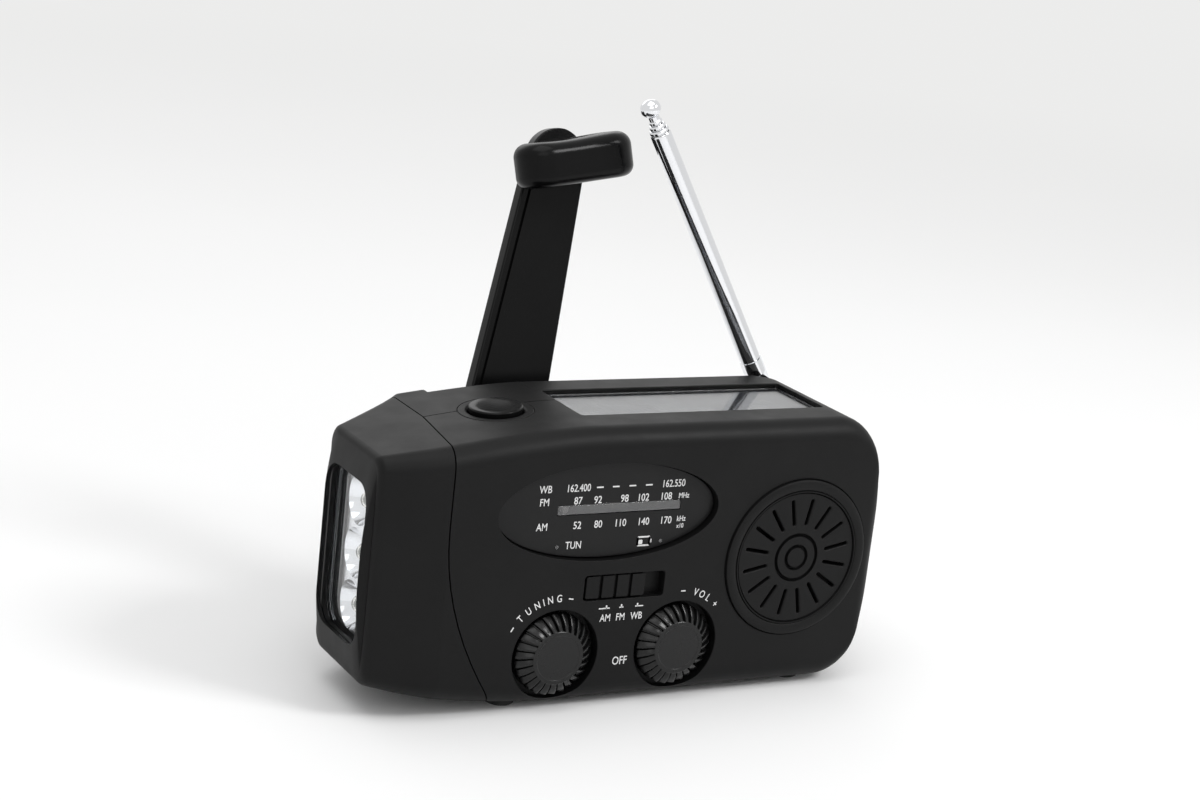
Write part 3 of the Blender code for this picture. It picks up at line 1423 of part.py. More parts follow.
def arm_solid():
    """The arm's plate in sections along its length, from the round hinge edge to the round end."""
    half = ARM_THICKNESS / 2
    end = arm_half_width(ARM_RADIUS)
    rings = []

    def ring(z, half_width, half_thickness):
        radius = min(ARM_EDGE, half_thickness / 2, half_width / 2)
        outline = around((0, 0), half_width, half_thickness, radius, 1)
        rings.append([mapped("Z", u, v, z) for u, v in outline])

    for degrees in (-80, -60, -40, -20, 0):
        turn = math.radians(degrees)
        ring(half * math.sin(turn), arm_half_width(0), half * math.cos(turn))
    for degrees in (0, 15, 30, 45, 60, 72, 82):
        turn = math.radians(degrees)
        ring(ARM_RADIUS + end * math.sin(turn), end * math.cos(turn), half)
    return loft(rings)


def grip_outline(inset):
    """The grip seen from above: a bar with round ends."""
    return around((0, 0), GRIP_WIDTH / 2 - inset, GRIP_DEPTH / 2 - inset, GRIP_DEPTH / 2 - inset - FIT_GAP, 5)


def grip_solid():
    """The grip bar: soft edges above and below, and a dished top."""
    half = GRIP_HEIGHT / 2
    rings = []
    for level, inset in (
        (-half, GRIP_EDGE),
        (-half + GRIP_EDGE * GRIP_EDGE_SHARE, GRIP_EDGE * GRIP_EDGE_SHARE),
        (-half + GRIP_EDGE, 0),
        (half - GRIP_EDGE, 0),
        (half - GRIP_EDGE * GRIP_EDGE_SHARE, GRIP_EDGE * GRIP_EDGE_SHARE),
        (half, GRIP_EDGE),
        (half - GRIP_DISH, GRIP_DEPTH * GRIP_DISH_SHARE),
    ):
        rings.append([Vector((u, v, level)) for u, v in grip_outline(inset)])
    return loft(rings)


def crank(frame):
    """Hub, shaft and drive wheel on one axis; the arm folds on the hub and the grip spins on the arm."""
    lean = Matrix.Rotation(CRANK_LEAN, 4, "Y")
    axis = pivot("crank_axis", Vector((CRANK_X, 0, CRANK_Z)), frame, lean)
    hub(axis)
    wheel_turn = math.pi / DRIVE_TEETH
    drive_gear(axis, wheel_turn)

    fold = pivot("arm_fold", Vector((0, HINGE_Y, 0)), axis, Matrix.Rotation(-ARM_TILT, 4, "X"))
    arm = add("crank_arm", arm_solid(), gloss_black(), fold)
    half = ARM_THICKNESS / 2
    fork_half = EAR_WIDTH / 2 + FIT_GAP
    fork = around((0, 0), fork_half, half + 2 * FIT_GAP, FIT_GAP, 1)
    pin_hole = GRIP_PIN_RADIUS + FIT_GAP
    pin_place = (0, ARM_RADIUS)
    rim = arm_outline(ARM_RIM, half + 4 * ARM_RIM)
    cuts = [
        prism(fork, "Y", -OVERRUN, OVERRUN),
        rod("X", (0, 0), HINGE_PIN_RADIUS + FIT_GAP / 2, -OVERRUN * 2, OVERRUN * 2, PIN_STEPS),
        rod("Y", pin_place, pin_hole, -OVERRUN, OVERRUN, SMALL_STEPS),
        prism(rim, "Y", half - ARM_RIM_DEPTH, OVERRUN),
    ]
    cut(arm, cuts, fold, overlaps=True)
    pin_half = arm_half_width(0) - FIT_GAP
    add("hinge_pin", rod("X", (0, 0), HINGE_PIN_RADIUS, -pin_half, pin_half, PIN_STEPS), steel(), fold)
    grip(fold)


def grip(fold):
    """The grip's two halves round the pin that is riveted through the arm."""
    half = ARM_THICKNESS / 2
    near = -half - FIT_GAP
    centre_y = near - GRIP_DEPTH / 2
    spin = pivot(
        "grip_axis", Vector((0, centre_y, ARM_RADIUS)), fold, Matrix.Rotation(-GRIP_SPIN, 4, "Y")
    )
    parting = GRIP_DEPTH * (0.5 - GRIP_PARTING_SHARE)
    pin_end = parting - GRIP_PIN_IN_FRONT
    far = GRIP_WIDTH
    for name, low, high in (
        ("grip_rear_half", parting + FIT_GAP / 2, far),
        ("grip_front_half", -far, parting - FIT_GAP / 2),
    ):
        item = add(name, grip_solid(), gloss_black(), spin)
        block = prism([(-far, -far), (far, -far), (far, far), (-far, far)], "Y", low, high)
        boolean(item, add(name + "_region", block, None, spin, True), "INTERSECT")
        cut(item, [rod("Y", (0, 0), GRIP_PIN_RADIUS + FIT_GAP, pin_end - FIT_GAP, far, SMALL_STEPS)], spin)
    head_low = half - ARM_RIM_DEPTH + FIT_GAP
    profile = [
        (0, centre_y + pin_end),
        (GRIP_PIN_RADIUS, centre_y + pin_end),
        (GRIP_PIN_RADIUS, head_low),
        (GRIP_PIN_HEAD_RADIUS, head_low),
        (GRIP_PIN_HEAD_RADIUS, head_low + GRIP_PIN_HEAD / 2),
        (0, head_low + GRIP_PIN_HEAD),
    ]
    add("grip_pin", turned(profile, "Y", (0, ARM_RADIUS), SMALL_STEPS), steel(), fold)


def drive_gear(axis, turn):
    front = drive_gear_front()
    outline = turned_outline(gear_outline(DRIVE_TEETH), turn + CRANK_LEAN)
    wheel = add("drive_wheel", prism(outline, "Y", front, front + GEAR_WIDTH), gear_plastic(), axis)
    back = front + GEAR_WIDTH
    bore = rod("Y", (0, 0), CRANK_SHAFT_RADIUS + FIT_GAP, front - WALL, back + WALL, SMALL_STEPS)
    cut(wheel, [bore], axis)


def mesh_turn(own_teeth, other_teeth, other_turn, direction):
    """The turn that puts a tooth gap of one gear on a tooth of the other, along the line between them."""
    other_phase = (direction - other_turn) * other_teeth / (2 * math.pi)
    own_pitch = 2 * math.pi / own_teeth
    return direction + math.pi + own_pitch * (other_phase + 0.5)


def gear_train(frame):
    """Idler gear and generator, with the plate that carries them on the rear shell's posts."""
    drive_turn = math.pi / DRIVE_TEETH
    low, high = rotor_gear_front(), drive_gear_front()
    x, z = idler_place()
    pinion_turn = mesh_turn(IDLER_PINION_TEETH, DRIVE_TEETH, drive_turn, IDLER_DIRECTION)
    axis = pivot("idler_axis", Vector((x, 0, z)), frame)
    wheel = add(
        "idler_gear",
        prism(turned_outline(gear_outline(IDLER_WHEEL_TEETH), pinion_turn), "Y", low, low + GEAR_WIDTH),
        gear_plastic(),
        axis,
    )
    outline = turned_outline(gear_outline(IDLER_PINION_TEETH), pinion_turn)
    pinion = prism(outline, "Y", low + GEAR_WIDTH / 2, high + GEAR_WIDTH)
    boolean(wheel, add("idler_pinion", pinion, None, axis, True), "UNION")
    bore = IDLER_AXLE_RADIUS + AXLE_GAP
    cut(wheel, [rod("Y", (0, 0), bore, low - WALL, high + OVERRUN, PIN_STEPS)], axis)

    rotor_x, rotor_z = rotor_place()
    rotor_turn = mesh_turn(ROTOR_TEETH, IDLER_WHEEL_TEETH, pinion_turn, ROTOR_DIRECTION)
    rotor = pivot("rotor_axis", Vector((rotor_x, 0, rotor_z)), frame)
    item = add(
        "generator_pinion",
        prism(turned_outline(gear_outline(ROTOR_TEETH), rotor_turn), "Y", low, low + GEAR_WIDTH),
        steel(),
        rotor,
    )
    generator_back = PLATE_FRONT_Y - FIT_GAP
    shaft_low = generator_back - SHAFT_ENGAGE
    shaft = rod("Y", (0, 0), ROTOR_SHAFT_RADIUS, shaft_low, low + GEAR_WIDTH + FIT_GAP, PIN_STEPS)
    boolean(item, add("rotor_shaft", shaft, None, rotor, True), "UNION")

    front = BOARD_FRONT_Y + BOARD_THICKNESS + GENERATOR_CLEARANCE
    profile = [
        (0, front),
        (GENERATOR_RADIUS - GENERATOR_STEP, front),
        (GENERATOR_RADIUS, front + GENERATOR_STEP),
        (GENERATOR_RADIUS, generator_back),
        (0, generator_back),
    ]
    body = add("generator", turned(profile, "Y", (rotor_x, rotor_z), SMALL_STEPS), steel(), frame)
    hole_radius = ROTOR_SHAFT_RADIUS + AXLE_GAP
    hole = rod("Y", (rotor_x, rotor_z), hole_radius, shaft_low - FIT_GAP, generator_back + WALL, PIN_STEPS)
    cut(body, [hole], frame)
    gearbox_plate(frame)


def gearbox_plate(frame):
    """The plate on its posts, with the idler's axle riveted in it."""
    plate_back = PLATE_FRONT_Y + PLATE_THICKNESS
    rotor = rotor_place()
    idler = idler_place()
    solid = bmesh.new()
    rims = [ellipse(place, POST_RADIUS, POST_RADIUS, PIN_STEPS) for place in GEARBOX_POSTS]
    rims.append(ellipse(rotor, GENERATOR_RADIUS, GENERATOR_RADIUS, SMALL_STEPS))
    for rim in rims:
        for u, v in rim:
            for y in (PLATE_FRONT_Y, plate_back):
                solid.verts.new(mapped("Y", u, v, y))
    hull = bmesh.ops.convex_hull(solid, input=solid.verts)
    inner = [item for item in hull["geom_interior"] if isinstance(item, bmesh.types.BMVert)]
    bmesh.ops.delete(solid, geom=inner, context="VERTS")
    bmesh.ops.recalc_face_normals(solid, faces=solid.faces)
    plate = add("gearbox_plate", solid, steel(), frame)
    axle_end = drive_gear_front() + GEAR_WIDTH + FIT_GAP
    axle = rod("Y", idler, IDLER_AXLE_RADIUS, PLATE_FRONT_Y + PLATE_THICKNESS / 2, axle_end, PIN_STEPS)
    boolean(plate, add("idler_axle", axle, None, frame, True), "UNION")
    holes = [
        rod("Y", (CRANK_X, CRANK_Z), CRANK_SHAFT_RADIUS + FIT_GAP, 0, BODY_DEPTH, SMALL_STEPS),
        rod("Y", rotor, ROTOR_SHAFT_RADIUS + FIT_GAP, 0, BODY_DEPTH, PIN_STEPS),
    ]
    cut(plate, holes, frame)


# Power, sockets, feet and screws


def power(frame):
    """The battery on the floor of the case and the ferrite rod behind the main board."""
    z = BODY_BOTTOM + WALL + FIT_GAP + BATTERY_RADIUS
    step = COMPONENT_RADIUS
    end = BATTERY_LEFT + BATTERY_LENGTH
    profile = [
        (0, BATTERY_LEFT),
        (BATTERY_RADIUS - step, BATTERY_LEFT),
        (BATTERY_RADIUS, BATTERY_LEFT + step),
        (BATTERY_RADIUS, end - step),
        (BATTERY_RADIUS - step, end),
        (0, end),
    ]
    add("battery", turned(profile, "X", (BATTERY_Y, z), SMALL_STEPS), battery_wrap(), frame)
    y = BOARD_FRONT_Y + BOARD_THICKNESS + FIT_GAP + FERRITE_RADIUS
    end = FERRITE_LEFT + FERRITE_LENGTH
    ferrite = rod("X", (y, FERRITE_Z), FERRITE_RADIUS, FERRITE_LEFT, end, SMALL_STEPS)
    add("ferrite_rod", ferrite, ferrite_grey(), frame)


def socket_outlines(margin):
    z = (PORT_BOTTOM + PORT_TOP) / 2
    radius = SOCKET_RADIUS + margin
    usb = around((USB_X, z), USB_WIDTH / 2 + margin, USB_HEIGHT / 2 + margin, radius, 1)
    micro = around((MICRO_X, z), MICRO_WIDTH / 2 + margin, MICRO_HEIGHT / 2 + margin, radius, 1)
    return usb, micro


def sockets(frame):
    """USB and micro USB sockets in the floor of their well, under a hinged rubber cover."""
    face = port_floor() + FIT_GAP
    for name, outline, length in zip(
        ("usb_socket", "micro_usb_socket"), socket_outlines(0), (USB_LENGTH, MICRO_LENGTH)
    ):
        item = add(name, prism(outline, "Y", face - length, face), steel(), frame)
        opening = dict(zip(("usb_socket", "micro_usb_socket"), socket_outlines(-SOCKET_WALL)))[name]
        cut(item, [prism(opening, "Y", face - length * SOCKET_BORE_SHARE, face + OVERRUN)], frame)
    grow = PORT_LEDGE - FIT_GAP
    cover_front = BODY_DEPTH - COVER_THICKNESS
    hinge = Vector(((PORT_LEFT + PORT_RIGHT) / 2, BODY_DEPTH, PORT_BOTTOM - grow))
    axis = pivot("cover_hinge", hinge, frame)
    outline = [(u - hinge.x, v - hinge.z) for u, v in port_outline(grow)]
    add("port_cover", prism(outline, "Y", cover_front - hinge.y, 0), rubber_black(), axis)


def feet(frame):
    for i, place in enumerate(FOOT_PLACES):
        edge = FOOT_HEIGHT / 4
        top = BODY_BOTTOM + FOOT_SUNK
        profile = [(0, 0), (FOOT_RADIUS - edge, 0), (FOOT_RADIUS, edge), (FOOT_RADIUS, top), (0, top)]
        add(f"foot_{i + 1}", turned(profile, "Z", place, SMALL_STEPS), rubber_black(), frame)


def screws(frame):
    """Case screws from the rear, their heads sunk in the rear shell."""
    head_back = BODY_DEPTH - SCREW_HEAD_SUNK
    head_front = head_back - SCREW_HEAD_HEIGHT
    tip = head_front - SCREW_LENGTH
    for i, place in enumerate(SCREW_PLACES):
        profile = [
            (0, tip),
            (SCREW_RADIUS, tip),
            (SCREW_RADIUS, head_front),
            (SCREW_HEAD_RADIUS, head_front),
            (SCREW_HEAD_RADIUS, head_back - FIT_GAP),
            (SCREW_HEAD_RADIUS - FIT_GAP, head_back),
            (0, head_back),
        ]
        add(f"case_screw_{i + 1}", turned(profile, "Y", place, PIN_STEPS), steel(), frame)


def rear_reach():
    """Y of the grip's end of the arm, which stands furthest back."""
    length = ARM_RADIUS + arm_half_width(ARM_RADIUS)
    half = ARM_THICKNESS / 2
    return HINGE_Y + length * math.sin(ARM_TILT) + half * math.cos(ARM_TILT)


def main():
    clear_scene()
    left = head_end(HEAD_END_SHARES[0])
    middle = Vector(((left + BODY_RIGHT) / 2, (rear_reach() - KNOB_PROUD) / 2, 0))
    frame = pivot("radio_frame", -middle, None)
    shells(frame)
    torch(frame)
    controls(frame)
    dial(frame)
    band_switch(frame)
    speaker(frame)
    solar(frame)
    torch_switch(frame)
    antenna(frame)
    crank(frame)
    gear_train(frame)
    power(frame)
    sockets(frame)
    feet(frame)
    screws(frame)


main()
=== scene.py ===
"""Wind-up radio: the fine surfaces, finishes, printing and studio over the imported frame. Metres, +Z up."""

import json
import math

import bmesh
import bpy
from mathutils import Matrix, Vector

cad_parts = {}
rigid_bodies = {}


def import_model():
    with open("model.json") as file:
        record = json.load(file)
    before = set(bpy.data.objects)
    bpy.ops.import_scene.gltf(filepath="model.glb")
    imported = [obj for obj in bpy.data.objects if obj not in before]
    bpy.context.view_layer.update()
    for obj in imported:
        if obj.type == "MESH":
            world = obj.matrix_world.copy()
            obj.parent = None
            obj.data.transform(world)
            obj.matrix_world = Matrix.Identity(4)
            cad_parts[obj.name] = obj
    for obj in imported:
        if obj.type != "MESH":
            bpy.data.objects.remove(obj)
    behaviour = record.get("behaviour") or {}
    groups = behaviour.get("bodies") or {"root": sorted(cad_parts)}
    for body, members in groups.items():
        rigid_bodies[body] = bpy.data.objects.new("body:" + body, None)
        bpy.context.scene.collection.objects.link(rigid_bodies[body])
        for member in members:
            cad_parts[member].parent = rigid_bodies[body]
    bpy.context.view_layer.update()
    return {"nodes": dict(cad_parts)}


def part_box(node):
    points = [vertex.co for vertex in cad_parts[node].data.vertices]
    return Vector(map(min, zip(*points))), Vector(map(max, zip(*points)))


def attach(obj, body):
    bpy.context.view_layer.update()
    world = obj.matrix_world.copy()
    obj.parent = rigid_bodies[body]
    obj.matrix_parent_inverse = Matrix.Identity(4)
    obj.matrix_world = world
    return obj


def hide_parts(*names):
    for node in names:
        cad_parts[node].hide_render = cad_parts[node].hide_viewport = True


for leftover in list(bpy.data.objects):
    bpy.data.objects.remove(leftover)
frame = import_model()

# Sizes of the radio, as in the CAD: X from the tuning knob's axis, Y from the front face, Z from the table.
# A share is a part of 1. The case:
BODY_DEPTH = 0.0440
BODY_TOP = 0.0618
BODY_RIGHT = 0.0794
RIGHT_BOW = 0.0020
RIGHT_TOP_RADIUS = 0.0105
RIGHT_BOTTOM_RADIUS = 0.0094
RIGHT_BOW_SHARES = (0.1, 0.2, 0.35, 0.5, 0.65, 0.8, 0.9, 0.98)
RIGHT_EDGE_RADIUS = 0.0035
EDGE_RADIUS = 0.0045
WALL = 0.0018
BOSS_WALL = 0.0014
SHELL_GAP = 0.0003
FIT_GAP = 0.0003
SLIDE_GAP = 0.0004
PARTING_Y = 0.0234
OVERRUN = 0.0100
MERGE = 0.000001

# Torch head
SEAM_X = -0.0274
SEAM_BEND_Z = 0.0420
SEAM_FOOT_SHIFT = 0.0148
HEAD_RIM_X = -0.0423
HEAD_BOW = 0.0019
HEAD_RIM_RADIUS = 0.0014
HEAD_EDGE_RADIUS = 0.0032
FALL_FROM_X = 0.0060
TOP_FALL = 0.0056
TOP_FALL_POWER = 1.5
BOTTOM_RISE = 0.0064
BOTTOM_RISE_POWER = 2.2
HEAD_FRONT_TAPER = 0.0036
FRONT_TAPER_POWER = 1.25
REAR_TAPER_X = -0.0228
HEAD_REAR_TAPER = 0.0140
REAR_TAPER_POWER = 0.9
BODY_STATIONS = (-0.0165, -0.0100, -0.0030)
SEAM_SLANT = 0.0028
HEAD_END_SHARES = (0.3, 0.8)
SECTION_ROUND_SHARE = 0.9
WINDOW_Y = 0.0173
WINDOW_Z = 0.0320
WINDOW_HALF_WIDTH = 0.01075
WINDOW_HALF_HEIGHT = 0.0175
WINDOW_RADIUS = 0.0050
LENS_RECESS = 0.0022
LENS_MARGIN = 0.0013
LENS_THICKNESS = 0.0012
REFLECTOR_DEPTH = 0.0050
REFLECTOR_MARGIN = 0.0005
CUP_RADIUS = 0.0053
CUP_PITCH = 0.0114
LED_RADIUS = 0.0019
LED_LENGTH = 0.0040
LED_COUNT = 3

# Knobs and their wells
TUNING_Z = 0.0126
VOLUME_X = 0.0293
KNOB_RADIUS = 0.0091
KNOB_NOTCH = 0.0009
KNOB_FACE_RADIUS = 0.0059
KNOB_PROUD = 0.0016
KNOB_RIM_Y = 0.0006
KNOB_RIBS = 26
WELL_RADIUS = 0.0101
WELL_DEPTH = 0.0030
STEM_RADIUS = 0.0028
SHAFT_RADIUS = 0.0015
SHAFT_ENGAGE = 0.0030
DRUM_THICKNESS = 0.0010

# Dial
DIAL_X = 0.0096
DIAL_Z = 0.0439
DIAL_HALF_WIDTH = 0.0263
DIAL_HALF_HEIGHT = 0.0107
DIAL_RECESS = 0.0016
DIAL_THICKNESS = 0.0012
DIAL_LEDGE = 0.0022
BAR_LEFT = -0.00235
BAR_RIGHT = 0.0274
BAR_BOTTOM = 0.0431
BAR_TOP = 0.0454

# Band switch
SLOT_LEFT = 0.0052
SLOT_RIGHT = 0.0247
SLOT_BOTTOM = 0.0243
SLOT_TOP = 0.0300
SLOT_DEPTH = 0.0024
SLOT_RADIUS = 0.0008
SLIDER_WIDTH = 0.0142
SLIDER_RECESS = 0.0002
SLIDER_GROOVES = 3
SLIDER_GROOVE_WIDTH = 0.0007
SLIDER_GROOVE_DEPTH = 0.0007
SLIDER_START_GAP = 0.0006
BAND_TRAVEL = 0.0044
LEVER_WIDTH = 0.0030
LEVER_HEIGHT = 0.0020

# Speaker and its grille
SPEAKER_X = 0.0576
SPEAKER_Z = 0.0310
GRILLE_RADIUS = 0.0180
GRILLE_RIM_HEIGHT = 0.0007
GRILLE_DISC_RADIUS = 0.0149
GRILLE_STEP = 0.0003
GRILLE_SLOTS = 16
SLOT_INNER_RADIUS = 0.0072
SLOT_OUTER_RADIUS = 0.0138
GRILLE_SLOT_WIDTH = 0.0013
RING_RADII = (0.0052, 0.0026)
RING_WIDTH = 0.0008
RING_DEPTH = 0.0008
SPEAKER_RADIUS = 0.0165
SPEAKER_FLANGE = 0.0010

# Solar panel and torch button
SOLAR_LEFT = 0.0066
SOLAR_RIGHT = 0.0679
SOLAR_FRONT = 0.0116
SOLAR_REAR = 0.0310
SOLAR_RECESS = 0.0010
SOLAR_RADIUS = 0.0007
SOLAR_GLASS = 0.0008
SOLAR_BOARD = 0.0007
SOLAR_TRAY_WALL = 0.0013
BUTTON_X = -0.0091
BUTTON_Y = 0.0209
BUTTON_RADIUS = 0.0058
BUTTON_PROUD = 0.0010
BUTTON_DOME = 0.0004
BUTTON_FLANGE = 0.0011
BUTTON_FLANGE_HEIGHT = 0.0011
BUTTON_TRAVEL = 0.0012
BEZEL_RADIUS = 0.0081
BEZEL_DEPTH = 0.0014
CAGE_FLOOR_DROP = 0.0103
SWITCH_HEIGHT = 0.0034

# Crank
CRANK_X = 0.0057
CRANK_Z = 0.0466
CRANK_LEAN = math.radians(13.6)
ARM_TILT = math.radians(12.5)
HUB_RADIUS = 0.0084
HUB_THICKNESS = 0.0028
HUB_RECESS = 0.0013
ARM_THICKNESS = 0.0034
ARM_BASE_WIDTH = 0.0204
ARM_END_WIDTH = 0.0146
ARM_RADIUS = 0.0635
ARM_RIM = 0.0016
ARM_RIM_DEPTH = 0.0007
EAR_WIDTH = 0.0050
HINGE_PIN_RADIUS = 0.0009
CRANK_SHAFT_RADIUS = 0.0025
SHAFT_IN_HUB = 0.0018
BEARING_RADIUS = 0.0050
GRIP_WIDTH = 0.0288
GRIP_DEPTH = 0.0126
GRIP_HEIGHT = 0.0102
GRIP_EDGE = 0.0026
GRIP_SPIN = math.radians(21.6)
GRIP_PARTING_SHARE = 0.36
GRIP_PIN_RADIUS = 0.0014
GRIP_PIN_HEAD_RADIUS = 0.0026
GRIP_PIN_HEAD = 0.0008
GRIP_PIN_IN_FRONT = 0.0050
STOW_DROP = math.radians(20)
POCKET_GAP = 0.0008

# Gear train
GEAR_WIDTH = 0.0028
PLATE_SETBACK = 0.0190
PLATE_FRONT_Y = BODY_DEPTH - PLATE_SETBACK
PLATE_THICKNESS = 0.0012
POST_RADIUS = 0.0024
GEARBOX_POSTS = ((0.0185, 0.0500), (-0.0145, 0.0450), (0.0125, 0.0275), (-0.0195, 0.0335))

# Antenna
ANTENNA_X = 0.0699
ANTENNA_Y = 0.0410
ANTENNA_Z = 0.0586
ANTENNA_LEAN = math.radians(30.8)
ANTENNA_TUBE = 0.0608
ANTENNA_RADIUS = 0.0024
ANTENNA_WALL = 0.00026
ANTENNA_SLIP = 0.00012
SECTION_SHOW = 0.0011
ANTENNA_SECTIONS = 4
TIP_RADIUS = 0.00235
TIP_FLAT_SHARE = 0.87
TIP_NECK = 0.0008
TIP_SEAT_SHARE = 0.9
TIP_TURNS = (-60, 150)  # the ball's profile: where it starts, and how far it goes round, in degrees
FOOT_LENGTH = 0.0075
TONGUE_WIDTH = 0.0020
FORK_RADIUS = 0.0026
FORK_CROWN_SHARE = 0.6
FORK_FLAT_SHARE = 0.55
ANTENNA_POST_RADIUS = 0.0022
ANTENNA_POST_LENGTH = 0.0050
ANTENNA_PIN_RADIUS = 0.0007
GROOVE_LEFT = -0.0170
GROOVE_FLOOR_DROP = 0.0028
GROOVE_HALF_DEPTH = 0.0028
POST_WELL = 0.0032

# Inner parts
BOARD_FRONT_Y = 0.0096
BOARD_POSTS = ((0.0146, 0.0125), (-0.0125, 0.0360), (0.0363, 0.0535))
BOARD_POST_RADIUS = 0.0016

# Sockets and their cover
PORT_LEFT = -0.0195
PORT_RIGHT = 0.0070
PORT_BOTTOM = 0.0130
PORT_TOP = 0.0216
PORT_DEPTH = 0.0064
PORT_LEDGE = 0.0010
COVER_THICKNESS = 0.0011
PORT_RADIUS = 0.0012
USB_X = -0.0112
USB_WIDTH = 0.0132
USB_HEIGHT = 0.0058
MICRO_X = 0.0026
MICRO_WIDTH = 0.0076
MICRO_HEIGHT = 0.0029
SOCKET_RADIUS = 0.0006

# Feet and screws
FOOT_HEIGHT = 0.0012
FOOT_RADIUS = 0.0032
FOOT_SUNK = 0.0006
FOOT_PLACES = ((-0.0080, 0.0080), (0.0640, 0.0080), (-0.0080, 0.0360), (0.0640, 0.0360))
SCREW_PLACES = ((0.0546, 0.0058), (-0.0120, 0.0062), (-0.0200, 0.0535), (0.0500, 0.0510))
SCREW_RADIUS = 0.0012
SCREW_LENGTH = 0.0290
SCREW_HEAD_RADIUS = 0.0026
SCREW_HEAD_HEIGHT = 0.0014
SCREW_HEAD_SUNK = 0.0006
# The head's bevel and its cross's reach and width, of its radius, and the cross's depth, of its height
SCREW_EDGE_SHARES = (0.93, 0.8)
CROSS_SHARES = (0.62, 0.16, 0.6)
SCREW_BOSS_RADIUS = 0.0038
SCREW_FRONT_BOSS_RADIUS = 0.0026
BODY_BOTTOM = FOOT_HEIGHT
HINGE_Y = BODY_DEPTH - HUB_RECESS + HUB_THICKNESS + FIT_GAP + ARM_THICKNESS / 2

# Facets of the fine surfaces
CORNER_STEPS = 8
FINE_STEPS = 112
ROUND_STEPS = 72
SMALL_STEPS = 40
PIN_STEPS = 24
LIP_STEPS = 4

# Soft edges of the mouldings
LIP = 0.00025
FINE_LIP = 0.00012

# Fine detail that the CAD leaves to this script
SLOT_FLARE = 0.00030
SLOT_EXTRA = 0.00010
RIM_BEAD_WIDTH = 0.0006
RIM_ROUNDNESS = 0.7
RIM_GROOVE = 0.00018
RIM_GROOVE_DEPTH = 1.6 * RIM_GROOVE
SLEEVE_DEPTH = 0.0011
CUP_FALL_SHARE = 0.999
KNOB_SWEEP = 0.42
# One rib and its notch, as shares of the notch's depth round the knob
KNOB_RIB_SHARES = (0.42, 0.34, 0.26, 0.18, 0.10, 0.03, 0.0, 0.06, 1.0, 1.0)
KNOB_SOFT = 0.0003
KNOB_BOW = 0.00035
KNOB_NOTCH_RISE = (5.0, 0.06)  # how soon the notches reach their depth, and how deep they start
KNOB_FACE_RINGS = ((0.0010, 0.00012), (0.0008, 0.0))  # how far in from the face's edge, and how deep
HUB_LIP = 0.0004
GROOVE_CORNER = 0.0012
COLLAR_SOFT = 0.00012
COVER_LIP = 0.0003
TAB_DROP = 0.0014
TAB_HALF = (0.0030, 0.0005)
TAB_RADIUS = 0.0004
TAB_PROUD = 0.0005
TAB_LIP = 0.0002
BUTTON_DISH = 0.00035
BUTTON_DISH_SHARE = 0.78
ARM_SOFT_EDGE = 0.00055
ARM_SOFT_SHARE = 0.8
ARM_HINGE_TURN = 82
ARM_END_TURN = 85
ARM_GROOVE_INSET = 0.0016
ARM_GROOVE_WIDTH = 0.0007
ARM_GROOVE_DEPTH = 0.0006
GRIP_TOP_EDGE = 0.0032
GRIP_UNDER_EDGE = 0.0026
GRIP_HOLLOW = 0.0004
GRIP_HOLLOW_X = -0.0030
GRIP_HOLLOW_REACH = 0.0080
SOLAR_FINGER_PITCH = 0.0013
SOLAR_FINGER_SHARE = 0.16
SOLAR_CELL_PITCH = 0.0102
SOLAR_GAP_SHARE = 0.05

# Printing: its layer, then what it says, with places across (X) and up (Z) on the front
PRINT_THICKNESS = 0.00003
PRINT_LIFT = 0.00001
PRINT_SPREAD = 0.00001
DIAL_WORDS = 0.0023
SMALL_WORDS = 0.0017
NARROW_SHARE = 0.78
BAND_ROW_Z = 0.0490
FM_ROW_Z = 0.0462
AM_ROW_Z = 0.0408
LOW_ROW_Z = 0.03645
# Text, place across and up, height, how narrow
DIAL_TEXT = (
    ("WB", -0.0056, BAND_ROW_Z, DIAL_WORDS, 0.80),
    ("FM", -0.0056, FM_ROW_Z, DIAL_WORDS, 0.80),
    ("AM", -0.0056, AM_ROW_Z, DIAL_WORDS, 0.80),
    ("162.400", 0.0021, BAND_ROW_Z, DIAL_WORDS, NARROW_SHARE),
    ("162.550", 0.0250, BAND_ROW_Z, DIAL_WORDS, NARROW_SHARE),
    ("MHz", 0.0279, FM_ROW_Z, SMALL_WORDS, 0.80),
    ("kHz", 0.0279, 0.0410, SMALL_WORDS, 0.80),
    ("x10", 0.0278, 0.0394, 0.85 * SMALL_WORDS, 0.80),
    ("TUN", 0.0023, LOW_ROW_Z, DIAL_WORDS, 0.80),
)
SCALE_SHARE = 0.85
FM_SCALE = (("87", 0.0023), ("92", 0.0070), ("98", 0.0134), ("102", 0.0179), ("108", 0.0235))
AM_SCALE = (("52", 0.0027), ("80", 0.0077), ("110", 0.0130), ("140", 0.0186), ("170", 0.0241))
BAND_DASHES = (0.0072, 0.0110, 0.0150, 0.0190)
BAND_DASH = (0.0016, 0.00030)
BATTERY_X = 0.0192
BATTERY_SIZE = (0.0029, 0.0019)
BATTERY_LINE = 0.00034
LIGHTS = (("tuning_light", -0.0016), ("charge_light", 0.02335))
LIGHT_RADIUS = 0.00042
LIGHT_DROP = 0.00015
LIGHT_PROUD = 0.00012
LIGHT_SUNK = 0.0002
